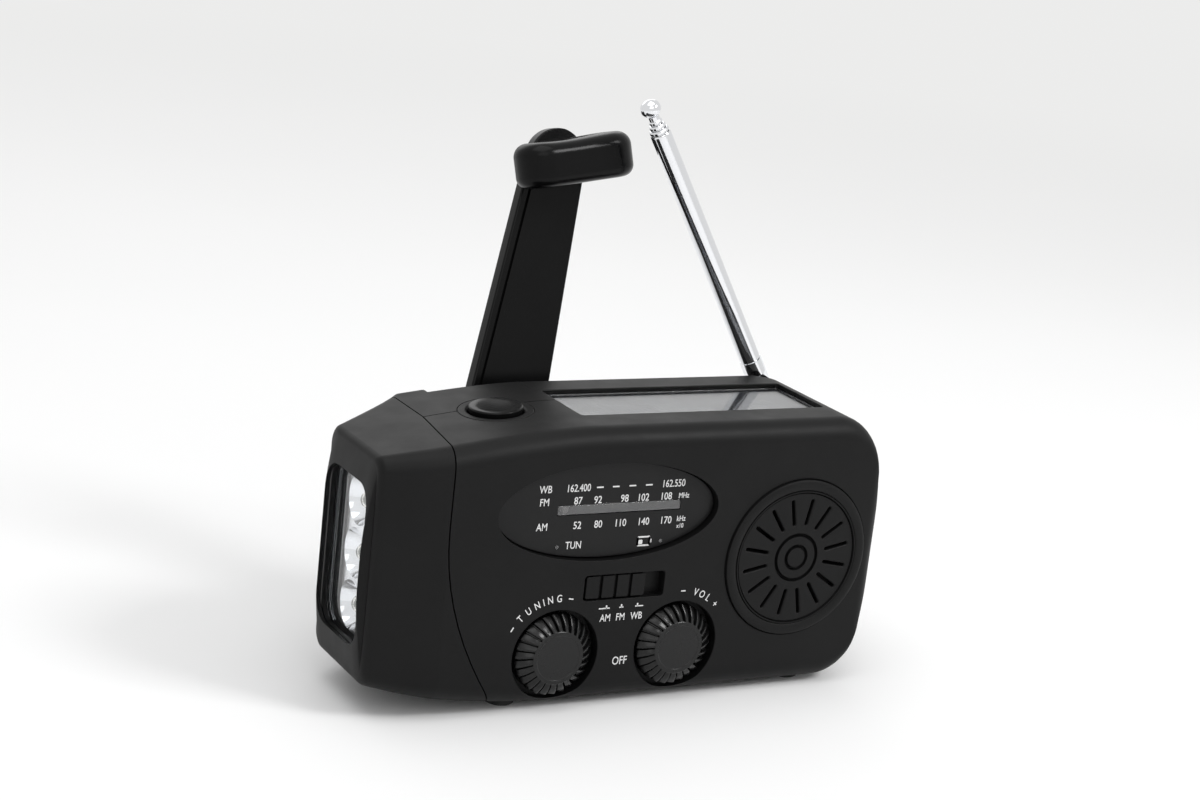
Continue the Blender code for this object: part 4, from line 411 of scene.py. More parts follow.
# Letters with their degrees round a knob, then each knob's place, its letters' radius and the letters
TUNING_LETTERS = tuple(zip("-TUNING-", (-58.5, -46, -35.5, -25.5, -18.5, -11.5, -2, 10.5)))
VOLUME_LETTERS = tuple(zip("-VOL+", (2, 17, 25, 33.5, 45)))
KNOB_WORDS = ((0, 0.01275, TUNING_LETTERS), (VOLUME_X, 0.01245, VOLUME_LETTERS))
KNOB_DASH = (0.0011, 0.00026)
FRONT_WORDS = 0.0023
SWITCH_WORDS = (("AM", 0.0111), ("FM", 0.01475), ("WB", 0.01866))
SWITCH_LINES = ((0.0106, 0.0026), (0.01475, 0.0010), (0.0191, 0.0020))
SWITCH_ROW_Z = 0.02018
SWITCH_LINE = 0.00024
TICK_Z = 0.02242
TICK_SIZE = (0.00034, 0.0008)
TICK_RISE = 0.0003
OFF_PLACE = (0.0158, 0.01015)
OFF_WORD = 0.0026

# Studio
FLOOR_REACH = 6.0
FLOOR_FADE = (0.20, 1.2)
BACKDROP = (0.84, 0.84, 0.835)
WORLD_LIGHT = 0.62
# Name, place, width and height, power
LAMPS = (
    ("key_lamp", (0.53, -0.60, 0.78), (0.30, 0.30), 4.4),
    ("back_lamp", (0.15, 1.00, 0.62), (1.20, 0.50), 1.5),
    ("top_lamp", (-0.20, -0.10, 1.10), (0.9, 0.9), 4.0),
    ("front_lamp", (-0.45, -1.00, 0.75), (0.9, 0.6), 1.6),
)
LAMP_AIM = Vector((0, 0, 0.05))

# The camera, in the radio's own frame
CAMERA_PLACE = (-0.23376, -0.41340, 0.19332)
CAMERA_RIGHT = (0.8757, -0.4703, 0.1093)
CAMERA_UP = (0.0274, 0.2745, 0.9612)
CAMERA_LENS = 72.0

KNOB_LOW, KNOB_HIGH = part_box("tuning_knob")
OFFSET = Vector(((KNOB_LOW.x + KNOB_HIGH.x) / 2, KNOB_LOW.y + KNOB_PROUD, 0))


# Mesh helpers


def mapped(axis, u, v, w):
    """A point from its place across (u, v) and along (w) the named axis."""
    if axis == "X":
        return Vector((w, u, v))
    if axis == "Y":
        return Vector((u, w, v))
    return Vector((u, v, w))


def at(x, y, z):
    """A place, as a matrix."""
    return Matrix.Translation(Vector((x, y, z)))


def quarter(steps):
    """The turns of a quarter circle in equal steps."""
    return [math.pi / 2 * k / steps for k in range(steps + 1)]


def rounding(steps, sideways=1.0, up=1.0):
    """(across, along) of a quarter circle from (sideways, 0) to (0, up)."""
    return [(sideways * math.cos(turn), up * math.sin(turn)) for turn in quarter(steps)]


def loft(rings):
    """A closed solid through rings of equally many points."""
    solid = bmesh.new()
    loops = [[solid.verts.new(point) for point in ring] for ring in rings]
    for low, high in zip(loops, loops[1:]):
        for i in range(len(low)):
            solid.faces.new((low[i - 1], low[i], high[i], high[i - 1]))
    solid.faces.new(loops[0])
    solid.faces.new(loops[-1])
    bmesh.ops.recalc_face_normals(solid, faces=solid.faces)
    return solid


def prism(outline, axis, low, high):
    """An outline of (u, v) points run along an axis."""
    return loft([[mapped(axis, u, v, w) for u, v in outline] for w in (low, high)])


def ellipse(centre, radius_u, radius_v, steps):
    turns = [2 * math.pi * i / steps for i in range(steps)]
    return [(centre[0] + radius_u * math.cos(a), centre[1] + radius_v * math.sin(a)) for a in turns]


def rounded(low, high, radius, steps=CORNER_STEPS):
    """A rectangle between two corners, with round corners."""
    centres = (
        (high[0] - radius, high[1] - radius),
        (low[0] + radius, high[1] - radius),
        (low[0] + radius, low[1] + radius),
        (high[0] - radius, low[1] + radius),
    )
    outline = []
    for corner, (u, v) in enumerate(centres):
        for step in range(steps + 1):
            turn = math.pi / 2 * (corner + step / steps)
            outline.append((u + radius * math.cos(turn), v + radius * math.sin(turn)))
    return outline


def around(centre, half_u, half_v, radius, steps=CORNER_STEPS):
    low = (centre[0] - half_u, centre[1] - half_v)
    high = (centre[0] + half_u, centre[1] + half_v)
    return rounded(low, high, radius, steps)


def rod(axis, centre, radius, low, high, steps=ROUND_STEPS):
    return prism(ellipse(centre, radius, radius, steps), axis, low, high)


def turned(profile, axis, centre, steps=ROUND_STEPS, closed=False):
    """A solid turned from (radius, height) pairs that run from axis to axis, or round a closed loop."""
    solid = bmesh.new()
    points = [solid.verts.new(mapped(axis, centre[0] + radius, centre[1], w)) for radius, w in profile]
    pairs = list(zip(points, points[1:]))
    if closed:
        pairs.append((points[-1], points[0]))
    edges = [solid.edges.new(pair) for pair in pairs]
    bmesh.ops.spin(
        solid,
        geom=points + edges,
        cent=mapped(axis, centre[0], centre[1], 0),
        axis=mapped(axis, 0, 0, 1),
        angle=2 * math.pi,
        steps=steps,
        use_merge=True,
    )
    bmesh.ops.remove_doubles(solid, verts=solid.verts, dist=MERGE)
    bmesh.ops.recalc_face_normals(solid, faces=solid.faces)
    return solid


def rounded_levels(low, high, lip):
    """(level, inset) pairs of a slab whose edges at both ends are rounded by `lip`."""
    near = [(low + lip - rise, lip - side) for side, rise in reversed(rounding(LIP_STEPS, lip, lip))]
    far = [(high - (level - low), inset) for level, inset in reversed(near)]
    return near + far


def soft_prism(outline_at, axis, low, high, lip=LIP):
    """A slab with rounded edges. outline_at(margin) gives the outline grown by a margin."""
    rings = []
    for level, inset in rounded_levels(low, high, lip):
        rings.append([mapped(axis, u, v, level) for u, v in outline_at(-inset)])
    return loft(rings)


def mouth(outline_at, axis, surface, floor, lip=LIP):
    """A cutter from outside a surface down to a floor, which leaves the mouth's edge rounded."""
    inward = 1 if floor > surface else -1
    levels = [(surface - inward * OVERRUN, lip)]
    levels += [(surface + inward * (lip - side), lip - rise) for side, rise in rounding(LIP_STEPS, lip, lip)]
    levels.append((floor, 0))
    return loft([[mapped(axis, u, v, level) for u, v in outline_at(margin)] for level, margin in levels])


def circle_at(centre, radius, steps):
    return lambda margin: ellipse(centre, radius + margin, radius + margin, steps)


def as_mesh(solid):
    """The solid as mesh data. It frees the solid."""
    mesh = bpy.data.meshes.new("solid")
    solid.to_mesh(mesh)
    solid.free()
    return mesh


def placed(name, data):
    """An object in the scene that shows the data."""
    item = bpy.data.objects.new(name, data)
    bpy.context.scene.collection.objects.link(item)
    return item


def combined(solid, steps):
    """A solid after a list of (operation, solid) Booleans, as a new mesh."""
    target = placed("tool", as_mesh(solid))
    tools = []
    for operation, other in steps:
        tool = placed("tool", as_mesh(other))
        tools.append(tool)
        modifier = target.modifiers.new("boolean", "BOOLEAN")
        modifier.operation = operation
        modifier.solver = "MANIFOLD"
        modifier.object = tool
    bpy.context.view_layer.update()
    graph = bpy.context.evaluated_depsgraph_get()
    mesh = bpy.data.meshes.new_from_object(target.evaluated_get(graph))
    for item in [target, *tools]:
        old = item.data
        bpy.data.objects.remove(item)
        bpy.data.meshes.remove(old)
    return mesh


def cutting(tools):
    """Boolean steps that cut each of the tools away."""
    return [("DIFFERENCE", tool) for tool in tools]


def piece(name, mesh, material, body, place=None, stands_for=(), angle=32, flat=True):
    """A finished piece of the radio: smooth but for real edges, placed, and riding on its body."""
    if isinstance(mesh, bmesh.types.BMesh):
        mesh = as_mesh(mesh)
    mesh.name = name
    mesh.transform(Matrix.Translation(OFFSET) @ (place or Matrix.Identity(4)))
    mesh.materials.clear()
    mesh.materials.append(material)
    mesh.shade_smooth()
    mesh.set_sharp_from_angle(angle=math.radians(angle))
    item = placed(name, mesh)
    if flat:
        weighted = item.modifiers.new("weighted_normals", "WEIGHTED_NORMAL")
        weighted.keep_sharp = True
    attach(item, body)
    if stands_for:
        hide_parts(*stands_for)
    return item


# Finishes


def shader(name, colour, roughness, metallic=0.0, sheen=0.5):
    """A Principled material, its node tree and its shader. `sheen` is its specular level."""
    material = bpy.data.materials.new(name)
    material.use_nodes = True
    tree = material.node_tree
    principled = tree.nodes["Principled BSDF"]
    principled.inputs["Base Color"].default_value = (*colour, 1)
    principled.inputs["Roughness"].default_value = roughness
    principled.inputs["Metallic"].default_value = metallic
    principled.inputs["Specular IOR Level"].default_value = sheen
    return material, tree, principled


def noise(tree, scale, detail=3.0, stretch=(1, 1, 1)):
    """A noise over the object's own coordinates, stretched along its axes."""
    place = tree.nodes.new("ShaderNodeTexCoord")
    spread = tree.nodes.new("ShaderNodeMapping")
    spread.inputs["Scale"].default_value = stretch
    cloud = tree.nodes.new("ShaderNodeTexNoise")
    cloud.inputs["Scale"].default_value = scale
    cloud.inputs["Detail"].default_value = detail
    tree.links.new(place.outputs["Object"], spread.inputs["Vector"])
    tree.links.new(spread.outputs["Vector"], cloud.inputs["Vector"])
    return cloud.outputs["Fac"]


def ramp(tree, source, stops):
    """A colour ramp over a value, from (position, colour or level) stops."""
    node = tree.nodes.new("ShaderNodeValToRGB")
    elements = node.color_ramp.elements
    while len(elements) < len(stops):
        elements.new(0.5)
    for element, (position, colour) in zip(elements, stops):
        element.position = position
        level = colour if isinstance(colour, tuple) else (colour, colour, colour)
        element.color = (*level, 1)
    tree.links.new(source, node.inputs["Fac"])
    return node.outputs["Color"]


def bump(tree, principled, height, strength, distance=0.0001):
    node = tree.nodes.new("ShaderNodeBump")
    node.inputs["Strength"].default_value = strength
    node.inputs["Distance"].default_value = distance
    tree.links.new(height, node.inputs["Height"])
    tree.links.new(node.outputs["Normal"], principled.inputs["Normal"])


def moulded(name, dark, light, rough_low, rough_high, grain=3500, depth=0.12, sheen=0.5):
    """Moulded plastic: a fine grain, a slow drift of its tone and a little wear in its sheen."""
    material, tree, principled = shader(name, dark, rough_high, 0.0, sheen)
    tone = ramp(tree, noise(tree, 60, 4), [(0.3, dark), (0.7, light)])
    wear = ramp(tree, noise(tree, 180, 5), [(0.25, rough_low), (0.75, rough_high)])
    tree.links.new(tone, principled.inputs["Base Color"])
    tree.links.new(wear, principled.inputs["Roughness"])
    bump(tree, principled, noise(tree, grain, 2), depth, 0.00003)
    return material


def metal(name, colour, rough_low, rough_high, stretch=(1, 1, 1), scale=400, depth=0.03):
    """Metal with fine lines of wear in its sheen."""
    material, tree, principled = shader(name, colour, rough_low, 1.0)
    streak = noise(tree, scale, 6, stretch)
    wear = ramp(tree, streak, [(0.35, rough_low), (0.75, rough_high)])
    tree.links.new(wear, principled.inputs["Roughness"])
    bump(tree, principled, streak, depth, 0.00001)
    return material


def clear(name, colour, roughness, clarity=1.0, sheen=0.5):
    """Clear plastic with faint haze. Below full clarity it is milky in its own colour."""
    material, tree, principled = shader(name, colour, roughness, 0.0, sheen)
    principled.inputs["Transmission Weight"].default_value = clarity
    principled.inputs["IOR"].default_value = 1.46
    haze = ramp(tree, noise(tree, 250, 4), [(0.4, roughness), (0.8, roughness + 0.05)])
    tree.links.new(haze, principled.inputs["Roughness"])
    return material


def maths(tree, operation, first, second=None):
    """One operation over a value, and over a number or another value where it takes two."""
    node = tree.nodes.new("ShaderNodeMath")
    node.operation = operation
    tree.links.new(first, node.inputs[0])
    if isinstance(second, float):
        node.inputs[1].default_value = second
    elif second is not None:
        tree.links.new(second, node.inputs[1])
    return node.outputs["Value"]


def along(tree, kind, axis):
    """A surface's place along one axis, from the Texture Coordinate's named output."""
    place = tree.nodes.new("ShaderNodeTexCoord")
    split = tree.nodes.new("ShaderNodeSeparateXYZ")
    tree.links.new(place.outputs[kind], split.inputs["Vector"])
    return split.outputs[axis]


def pointer_finish():
    """White at the pointer's tip, and black on the carriage behind it."""
    white, dark = (0.74, 0.70, 0.66), (0.01, 0.01, 0.01)
    material, tree, principled = shader("pointer_finish", white, 0.5)
    tone = ramp(tree, along(tree, "Generated", "Y"), [(0.30, white), (0.325, dark)])
    tree.links.new(tone, principled.inputs["Base Color"])
    return material


def black(level, blue=0.0001):
    """A very dark grey with a trace more blue."""
    return (level, level, level + blue)


def solar_finish():
    """Solar cells: dark blue-grey silicon with fine pale fingers across and a few wider gaps."""
    material, tree, principled = shader("solar_cells", (0.03, 0.035, 0.06), 0.30, 0.0, 0.12)
    place = along(tree, "Object", "X")
    base = ramp(tree, noise(tree, 90, 4), [(0.3, (0.020, 0.023, 0.036)), (0.7, (0.032, 0.036, 0.050))])
    for pitch, share, tint in (
        (SOLAR_FINGER_PITCH, SOLAR_FINGER_SHARE, (0.20, 0.205, 0.22)),
        (SOLAR_CELL_PITCH, SOLAR_GAP_SHARE, (0.012, 0.012, 0.016)),
    ):
        fraction = maths(tree, "FRACT", maths(tree, "DIVIDE", place, pitch))
        mix = tree.nodes.new("ShaderNodeMix")
        mix.data_type = "RGBA"
        tree.links.new(maths(tree, "LESS_THAN", fraction, share), mix.inputs["Factor"])
        tree.links.new(base, mix.inputs["A"])
        mix.inputs["B"].default_value = (*tint, 1)
        base = mix.outputs["Result"]
    tree.links.new(base, principled.inputs["Base Color"])
    return material


# Each moulding: darker and lighter tone, roughness from and to, the grain's scale and depth, and sheen
CASE = moulded("case_moulding", black(0.0036), black(0.0050), 0.44, 0.52, 3500, 0.08, 0.17)
SATIN = moulded("satin_moulding", black(0.0022), black(0.0030), 0.20, 0.27, 2500, 0.03, 0.14)
KNOB = moulded("knob_moulding", black(0.0030), black(0.0042), 0.24, 0.31, 2500, 0.05, 0.36)
DIAL_TONES = (black(0.0055, 0.0002), black(0.0070, 0.0002))
DIAL = moulded("dial_plate_finish", *DIAL_TONES, 0.36, 0.44, 3000, 0.04, 0.22)
RUBBER = moulded("rubber_finish", black(0.0100, 0.0), black(0.0140, 0.0), 0.70, 0.85, 2500, 0.2)
NYLON = moulded("nylon_finish", (0.62, 0.60, 0.53), (0.72, 0.70, 0.64), 0.35, 0.50, 1500, 0.05)
PART_BLACK = moulded("part_moulding", (0.014, 0.014, 0.015), (0.020, 0.020, 0.021), 0.40, 0.55)
BOARD = moulded("circuit_board_finish", (0.008, 0.075, 0.030), (0.014, 0.105, 0.045), 0.25, 0.40, 800, 0.1)
WRAP = moulded("battery_wrap_finish", (0.02, 0.06, 0.22), (0.03, 0.08, 0.28), 0.25, 0.40, 600, 0.05)
FERRITE = moulded("ferrite_finish", (0.035, 0.030, 0.028), (0.055, 0.048, 0.045), 0.50, 0.70, 1200, 0.3)
PAPER = moulded("paper_cone_finish", (0.015, 0.014, 0.013), (0.024, 0.022, 0.020), 0.80, 0.95, 900, 0.5)
CHROME = metal("chrome_finish", (0.80, 0.81, 0.83), 0.05, 0.12, (1, 1, 1), 300, 0.02)
MIRROR = metal("reflector_finish", (0.88, 0.89, 0.91), 0.06, 0.16, (1, 1, 1), 500, 0.10)
STEEL = metal("steel_finish", (0.50, 0.50, 0.51), 0.25, 0.40, (1, 8, 8), 500, 0.05)
CLEAR = clear("clear_plastic_finish", (0.97, 0.98, 0.99), 0.02)
PANEL_CLEAR = clear("panel_face_finish", (0.80, 0.81, 0.82), 0.03, 1.0, 0.14)
STRIP = clear("dial_strip_finish", (0.42, 0.42, 0.425), 0.12, 0.82)
LED_CLEAR = clear("led_epoxy_finish", (1.0, 0.985, 0.93), 0.05)
SOLAR = solar_finish()
POINTER = pointer_finish()
PRINT = moulded("white_print", (0.66, 0.66, 0.66), (0.74, 0.74, 0.74), 0.45, 0.60, 2000, 0.02)


# The case


def rim_share(x, start, power):
    """How far an X is from a start towards the torch head's rim, 0 to 1, drawn out by a power."""
    share = (start - x) / (start - HEAD_RIM_X)
    return min(max(share, 0.0), 1.0) ** power


def head_end(share):
    """X of the torch head's bowed end at a share of its half height."""
    return HEAD_RIM_X - HEAD_BOW * (1 - share * share)


def arc_rise(radius, reach):
    return math.sqrt(max(radius * radius - reach * reach, 0.0))


def right_end(x, inset):
    """Lowest and highest Z and the front edge's Y at a section near the right end."""
    arc_end = BODY_RIGHT - RIGHT_BOW
    top_centre = BODY_TOP - RIGHT_TOP_RADIUS
    bottom_centre = BODY_BOTTOM + RIGHT_BOTTOM_RADIUS
    held = min(x, arc_end - inset)
    top = top_centre + arc_rise(RIGHT_TOP_RADIUS - inset, max(held - arc_end + RIGHT_TOP_RADIUS, 0.0))
    bottom_reach = max(held - arc_end + RIGHT_BOTTOM_RADIUS, 0.0)
    bottom = bottom_centre - arc_rise(RIGHT_BOTTOM_RADIUS - inset, bottom_reach)
    past = max(x - held, 0.0) / RIGHT_BOW
    if past > 0:
        middle = (top_centre + bottom_centre) / 2
        bow_share = math.sqrt(max(1.0 - past, 0.0))
        top = middle + (top_centre - middle) * bow_share
        bottom = middle + (bottom_centre - middle) * bow_share
    edge_centre = BODY_RIGHT - RIGHT_EDGE_RADIUS
    front = RIGHT_EDGE_RADIUS - arc_rise(RIGHT_EDGE_RADIUS - inset, max(x - edge_centre, 0.0))
    return bottom, top, front


def section(x, inset, shrink=0.0, height_share=1.0):
    """A ring of the case at one X, `inset` inside its outer form."""
    ease = rim_share(x, SEAM_X, FRONT_TAPER_POWER)
    bottom, top, front = right_end(x, inset)
    rear = BODY_DEPTH - front
    top -= TOP_FALL * rim_share(x, FALL_FROM_X, TOP_FALL_POWER) + shrink
    bottom += BOTTOM_RISE * rim_share(x, FALL_FROM_X, BOTTOM_RISE_POWER) + shrink
    front += HEAD_FRONT_TAPER * ease + shrink
    rear -= HEAD_REAR_TAPER * rim_share(x, REAR_TAPER_X, REAR_TAPER_POWER) + shrink
    middle = (top + bottom) / 2
    half = (top - bottom) / 2 * height_share
    edge = EDGE_RADIUS + (HEAD_EDGE_RADIUS - EDGE_RADIUS) * ease - inset
    radius = min(edge, half * SECTION_ROUND_SHARE)
    ring = rounded((front, middle - half), (rear, middle + half), radius)
    return [mapped("X", y, z, x) for y, z in ring]


def case_form(inset=0.0):
    """The outer form, or the one `inset` inside it, as sections from the torch end to the right."""
    rim = HEAD_RIM_X + inset
    sections = []
    first = HEAD_END_SHARES[0]
    spread_count = 7
    for i in range(spread_count):
        share = first + (1 - first) * i / spread_count
        spread = HEAD_RIM_RADIUS * (2 - share)
        sections.append(section(head_end(share) + inset, inset, spread, share))
    turns = 8
    for i in range(turns + 1):
        turn = math.pi / 2 * (1 - i / turns)
        x = rim + HEAD_RIM_RADIUS * (1 - math.sin(turn))
        sections.append(section(x, inset, HEAD_RIM_RADIUS * (1 - math.cos(turn))))
    stops = [rim + HEAD_RIM_RADIUS, SEAM_X, REAR_TAPER_X, *BODY_STATIONS, FALL_FROM_X]
    between = 5
    for start, end in zip(stops, stops[1:]):
        for i in range(1, between + 1):
            sections.append(section(start + (end - start) * i / between, inset))
    corner = BODY_RIGHT - RIGHT_BOW - RIGHT_TOP_RADIUS
    around_corner = 22
    for i in range(around_corner + 1):
        reach = (RIGHT_TOP_RADIUS - inset) * math.sin(math.pi / 2 * i / around_corner)
        sections.append(section(corner + reach, inset))
    for share in RIGHT_BOW_SHARES:
        sections.append(section(BODY_RIGHT - RIGHT_BOW - inset + RIGHT_BOW * share, inset))
    return loft(sections)


def seam_ring(side, y):
    """The region left or right of the torch head's seam at one Y. The seam bends forward only in front."""
    steps = 12
    low = BODY_BOTTOM - OVERRUN
    slant = SEAM_SLANT * min(max(y / PARTING_Y, 0.0), 1.0)
    foot_shift = SEAM_FOOT_SHIFT * (1 - min(max(y / BODY_DEPTH, 0.0), 1.0))
    edge = []
    for i in range(steps + 1):
        z = low + (SEAM_BEND_Z - low) * i / steps
        drop_share = (SEAM_BEND_Z - z) / (SEAM_BEND_Z - BODY_BOTTOM)
        edge.append((SEAM_X + side * SHELL_GAP / 2 + slant + foot_shift * drop_share * drop_share, z))
    edge.append((edge[-1][0], BODY_TOP + OVERRUN))
    far = BODY_RIGHT + OVERRUN if side > 0 else HEAD_RIM_X - OVERRUN
    edge += [(far, BODY_TOP + OVERRUN), (far, low)]
    return [mapped("Y", u, v, y) for u, v in edge]


def seam_region(side, levels):
    return loft([seam_ring(side, y) for y in levels])


def dial_ellipse(margin):
    return ellipse((DIAL_X, DIAL_Z), DIAL_HALF_WIDTH + margin, DIAL_HALF_HEIGHT + margin, FINE_STEPS)


def grown(low, high, radius, margin):
    """The outline of a recess between two corners, grown by a margin."""
    return rounded((low[0] - margin, low[1] - margin), (high[0] + margin, high[1] + margin), radius)


def slot_outline(margin):
    radius = SLOT_RADIUS + max(margin, 0.0)
    return grown((SLOT_LEFT, SLOT_BOTTOM), (SLOT_RIGHT, SLOT_TOP), radius, margin)


def solar_outline(margin):
    radius = SOLAR_RADIUS + max(margin, 0.0)
    return grown((SOLAR_LEFT, SOLAR_FRONT), (SOLAR_RIGHT, SOLAR_REAR), radius, margin)


def port_outline(margin):
    return grown((PORT_LEFT, PORT_BOTTOM), (PORT_RIGHT, PORT_TOP), PORT_RADIUS + margin, margin)


def stow_place():
    """Where the grip's pin lies when the crank is put away."""
    return (CRANK_X + ARM_RADIUS * math.cos(STOW_DROP), CRANK_Z - ARM_RADIUS * math.sin(STOW_DROP))


def pocket_outline(margin):
    gap = POCKET_GAP + margin
    return around(stow_place(), GRIP_HEIGHT / 2 + gap, GRIP_WIDTH / 2 + gap, GRIP_EDGE + gap)


def pocket_floor():
    return HINGE_Y - ARM_THICKNESS / 2 - FIT_GAP - GRIP_DEPTH - POCKET_GAP


def dial_floor():
    return DIAL_RECESS + DIAL_THICKNESS + FIT_GAP


def solar_floor():
    return BODY_TOP - SOLAR_RECESS - SOLAR_GLASS - SOLAR_BOARD - 2 * FIT_GAP


def button_seat():
    """Where the torch button sits: on the case's falling top and square to it, up its own Z."""
    fall = TOP_FALL * rim_share(BUTTON_X, FALL_FROM_X, TOP_FALL_POWER)
    slope = TOP_FALL_POWER * fall / (FALL_FROM_X - BUTTON_X)
    return at(BUTTON_X, BUTTON_Y, BODY_TOP - fall) @ Matrix.Rotation(-math.atan(slope), 4, "Y")


def seated(solid):
    solid.transform(button_seat())
    return solid


def bezel_floor():
    return -BEZEL_DEPTH - FIT_GAP


def cage_floor():
    return -CAGE_FLOOR_DROP


def port_floor():
    return BODY_DEPTH - PORT_DEPTH


def groove_front():
    return ANTENNA_Y - GROOVE_HALF_DEPTH


def groove_floor():
    return ANTENNA_Z - GROOVE_FLOOR_DROP


def groove_outline(margin):
    """The antenna's groove along the rear top edge, as an XY outline with room for its post."""
    right = ANTENNA_X + POST_WELL + margin
    low = (GROOVE_LEFT - margin, groove_front() - margin)
    return [low, (right, low[1]), (right, BODY_DEPTH + OVERRUN), (low[0], BODY_DEPTH + OVERRUN)]


def foot_neck():
    return FORK_RADIUS + 2 * FIT_GAP


def foot_swing():
    """Radius and floor of the well that the leaning foot's socket swings round in."""
    sin, cos = math.sin(ANTENNA_LEAN), math.cos(ANTENNA_LEAN)
    reach = (BODY_TOP - ANTENNA_Z + ANTENNA_RADIUS * sin) / cos
    free = (GROOVE_HALF_DEPTH - FIT_GAP - ANTENNA_RADIUS * cos) / sin
    floor = ANTENNA_Z + free * cos - ANTENNA_RADIUS * sin
    return reach * sin + ANTENNA_RADIUS * cos + FIT_GAP, floor


def rotor_gear_front():
    return PLATE_FRONT_Y + PLATE_THICKNESS + FIT_GAP


def drive_gear_front():
    return rotor_gear_front() + GEAR_WIDTH + 2 * FIT_GAP


def cage_radius():
    return BUTTON_RADIUS + BUTTON_FLANGE + FIT_GAP


def posts(places, radius, low, high, steps):
    """Equal rods along Y at several places."""
    return [rod("Y", place, radius, low, high, steps) for place in places]


def front_bosses():
    """What stands on the front shell inside: cups, the speaker's ring and posts."""
    outside = -OVERRUN
    inner = SPEAKER_RADIUS + FIT_GAP
    outer = inner + BOSS_WALL
    end = WALL + SPEAKER_FLANGE + BOSS_WALL
    ring = [(inner, WALL / 2), (outer, WALL / 2), (outer, end), (inner, end)]
    wells = ((0, TUNING_Z), (VOLUME_X, TUNING_Z))
    return [
        *posts(wells, WELL_RADIUS + BOSS_WALL, outside, WELL_DEPTH + BOSS_WALL, FINE_STEPS),
        prism(slot_outline(BOSS_WALL), "Y", outside, SLOT_DEPTH + BOSS_WALL),
        prism(dial_ellipse(BOSS_WALL), "Y", outside, dial_floor() + BOSS_WALL),
        grille_turned(ring),
        *posts(SCREW_PLACES, SCREW_FRONT_BOSS_RADIUS, outside, PARTING_Y + OVERRUN, SMALL_STEPS),
        *posts(BOARD_POSTS, BOARD_POST_RADIUS, outside, BOARD_FRONT_Y - FIT_GAP, PIN_STEPS),
    ]


def shared_bosses():
    """What both shells carry: the solar panel's tray and the torch button's cage."""
    ring_radius = BEZEL_RADIUS + FIT_GAP + BOSS_WALL
    return [
        prism(solar_outline(BOSS_WALL), "Z", solar_floor() - SOLAR_TRAY_WALL, BODY_TOP + OVERRUN),
        seated(rod("Z", (0, 0), ring_radius, bezel_floor() - BOSS_WALL, OVERRUN)),
        seated(rod("Z", (0, 0), cage_radius() + BOSS_WALL, cage_floor() - BOSS_WALL, OVERRUN)),
    ]


def rear_bosses():
    """What stands on the rear shell inside: recesses' walls, the crank's bearing and posts."""
    outside = BODY_DEPTH + OVERRUN
    hub, post = (CRANK_X, CRANK_Z), (ANTENNA_X, ANTENNA_Y)
    post_low = groove_floor() - ANTENNA_POST_LENGTH - BOSS_WALL
    swing, swing_floor = foot_swing()
    return [
        rod("Y", hub, HUB_RADIUS + FIT_GAP + BOSS_WALL, BODY_DEPTH - HUB_RECESS - WALL, outside),
        rod("Y", hub, BEARING_RADIUS, drive_gear_front() + GEAR_WIDTH + FIT_GAP, outside),
        prism(pocket_outline(BOSS_WALL), "Y", pocket_floor() - BOSS_WALL, outside),
        prism(port_outline(BOSS_WALL), "Y", port_floor() - BOSS_WALL, outside),
        prism(groove_outline(BOSS_WALL), "Z", groove_floor() - BOSS_WALL, BODY_TOP + OVERRUN),
        rod("Z", post, ANTENNA_POST_RADIUS + FIT_GAP + BOSS_WALL, post_low, groove_floor()),
        rod("Z", post, swing + BOSS_WALL, swing_floor - BOSS_WALL, BODY_TOP + OVERRUN),
        *posts(GEARBOX_POSTS, POST_RADIUS, rotor_gear_front(), outside, PIN_STEPS),
        *posts(SCREW_PLACES, SCREW_BOSS_RADIUS, PARTING_Y - OVERRUN, outside, SMALL_STEPS),
    ]


def lever_place():
    """Middle of the band slider's lever at the left stop."""
    return (SLOT_LEFT + SLIDER_START_GAP + SLIDER_WIDTH / 2, (SLOT_BOTTOM + SLOT_TOP) / 2)


def lens_face():
    return HEAD_RIM_X - HEAD_BOW + LENS_RECESS


def window_outline(margin):
    half = (WINDOW_HALF_WIDTH + margin, WINDOW_HALF_HEIGHT + margin)
    return around((WINDOW_Y, WINDOW_Z), *half, WINDOW_RADIUS + margin)


def lens_outline(margin):
    return window_outline(LENS_MARGIN + margin)


def bar_outline(margin, radius):
    """The long window over the pointer."""
    half = ((BAR_RIGHT - BAR_LEFT) / 2 + margin, (BAR_TOP - BAR_BOTTOM) / 2 + margin)
    return around(((BAR_LEFT + BAR_RIGHT) / 2, (BAR_BOTTOM + BAR_TOP) / 2), *half, radius, 4)


def socket_outlines(margin):
    z = (PORT_BOTTOM + PORT_TOP) / 2
    radius = SOCKET_RADIUS + margin
    usb = around((USB_X, z), USB_WIDTH / 2 + margin, USB_HEIGHT / 2 + margin, radius, 1)
    micro = around((MICRO_X, z), MICRO_WIDTH / 2 + margin, MICRO_HEIGHT / 2 + margin, radius, 1)
    return usb, micro


def grille_turned(profile, steps=FINE_STEPS):
    """A closed profile turned round the speaker's axis."""
    return turned(profile, "Y", (SPEAKER_X, SPEAKER_Z), steps, closed=True)


def flute(margin):
    """A radial slot's outline, round at both ends, grown by a margin."""
    steps = 6
    half = GRILLE_SLOT_WIDTH / 2 - SLOT_FLARE
    reach = half + margin
    outline = []
    for end, start_turn in (
        (SLOT_OUTER_RADIUS - half - SLOT_FLARE, -math.pi / 2),
        (SLOT_INNER_RADIUS + half + SLOT_FLARE, math.pi / 2),
    ):
        for k in range(steps + 1):
            turn = start_turn + math.pi * k / steps
            outline.append((end + reach * math.cos(turn), reach * math.sin(turn)))
    return outline


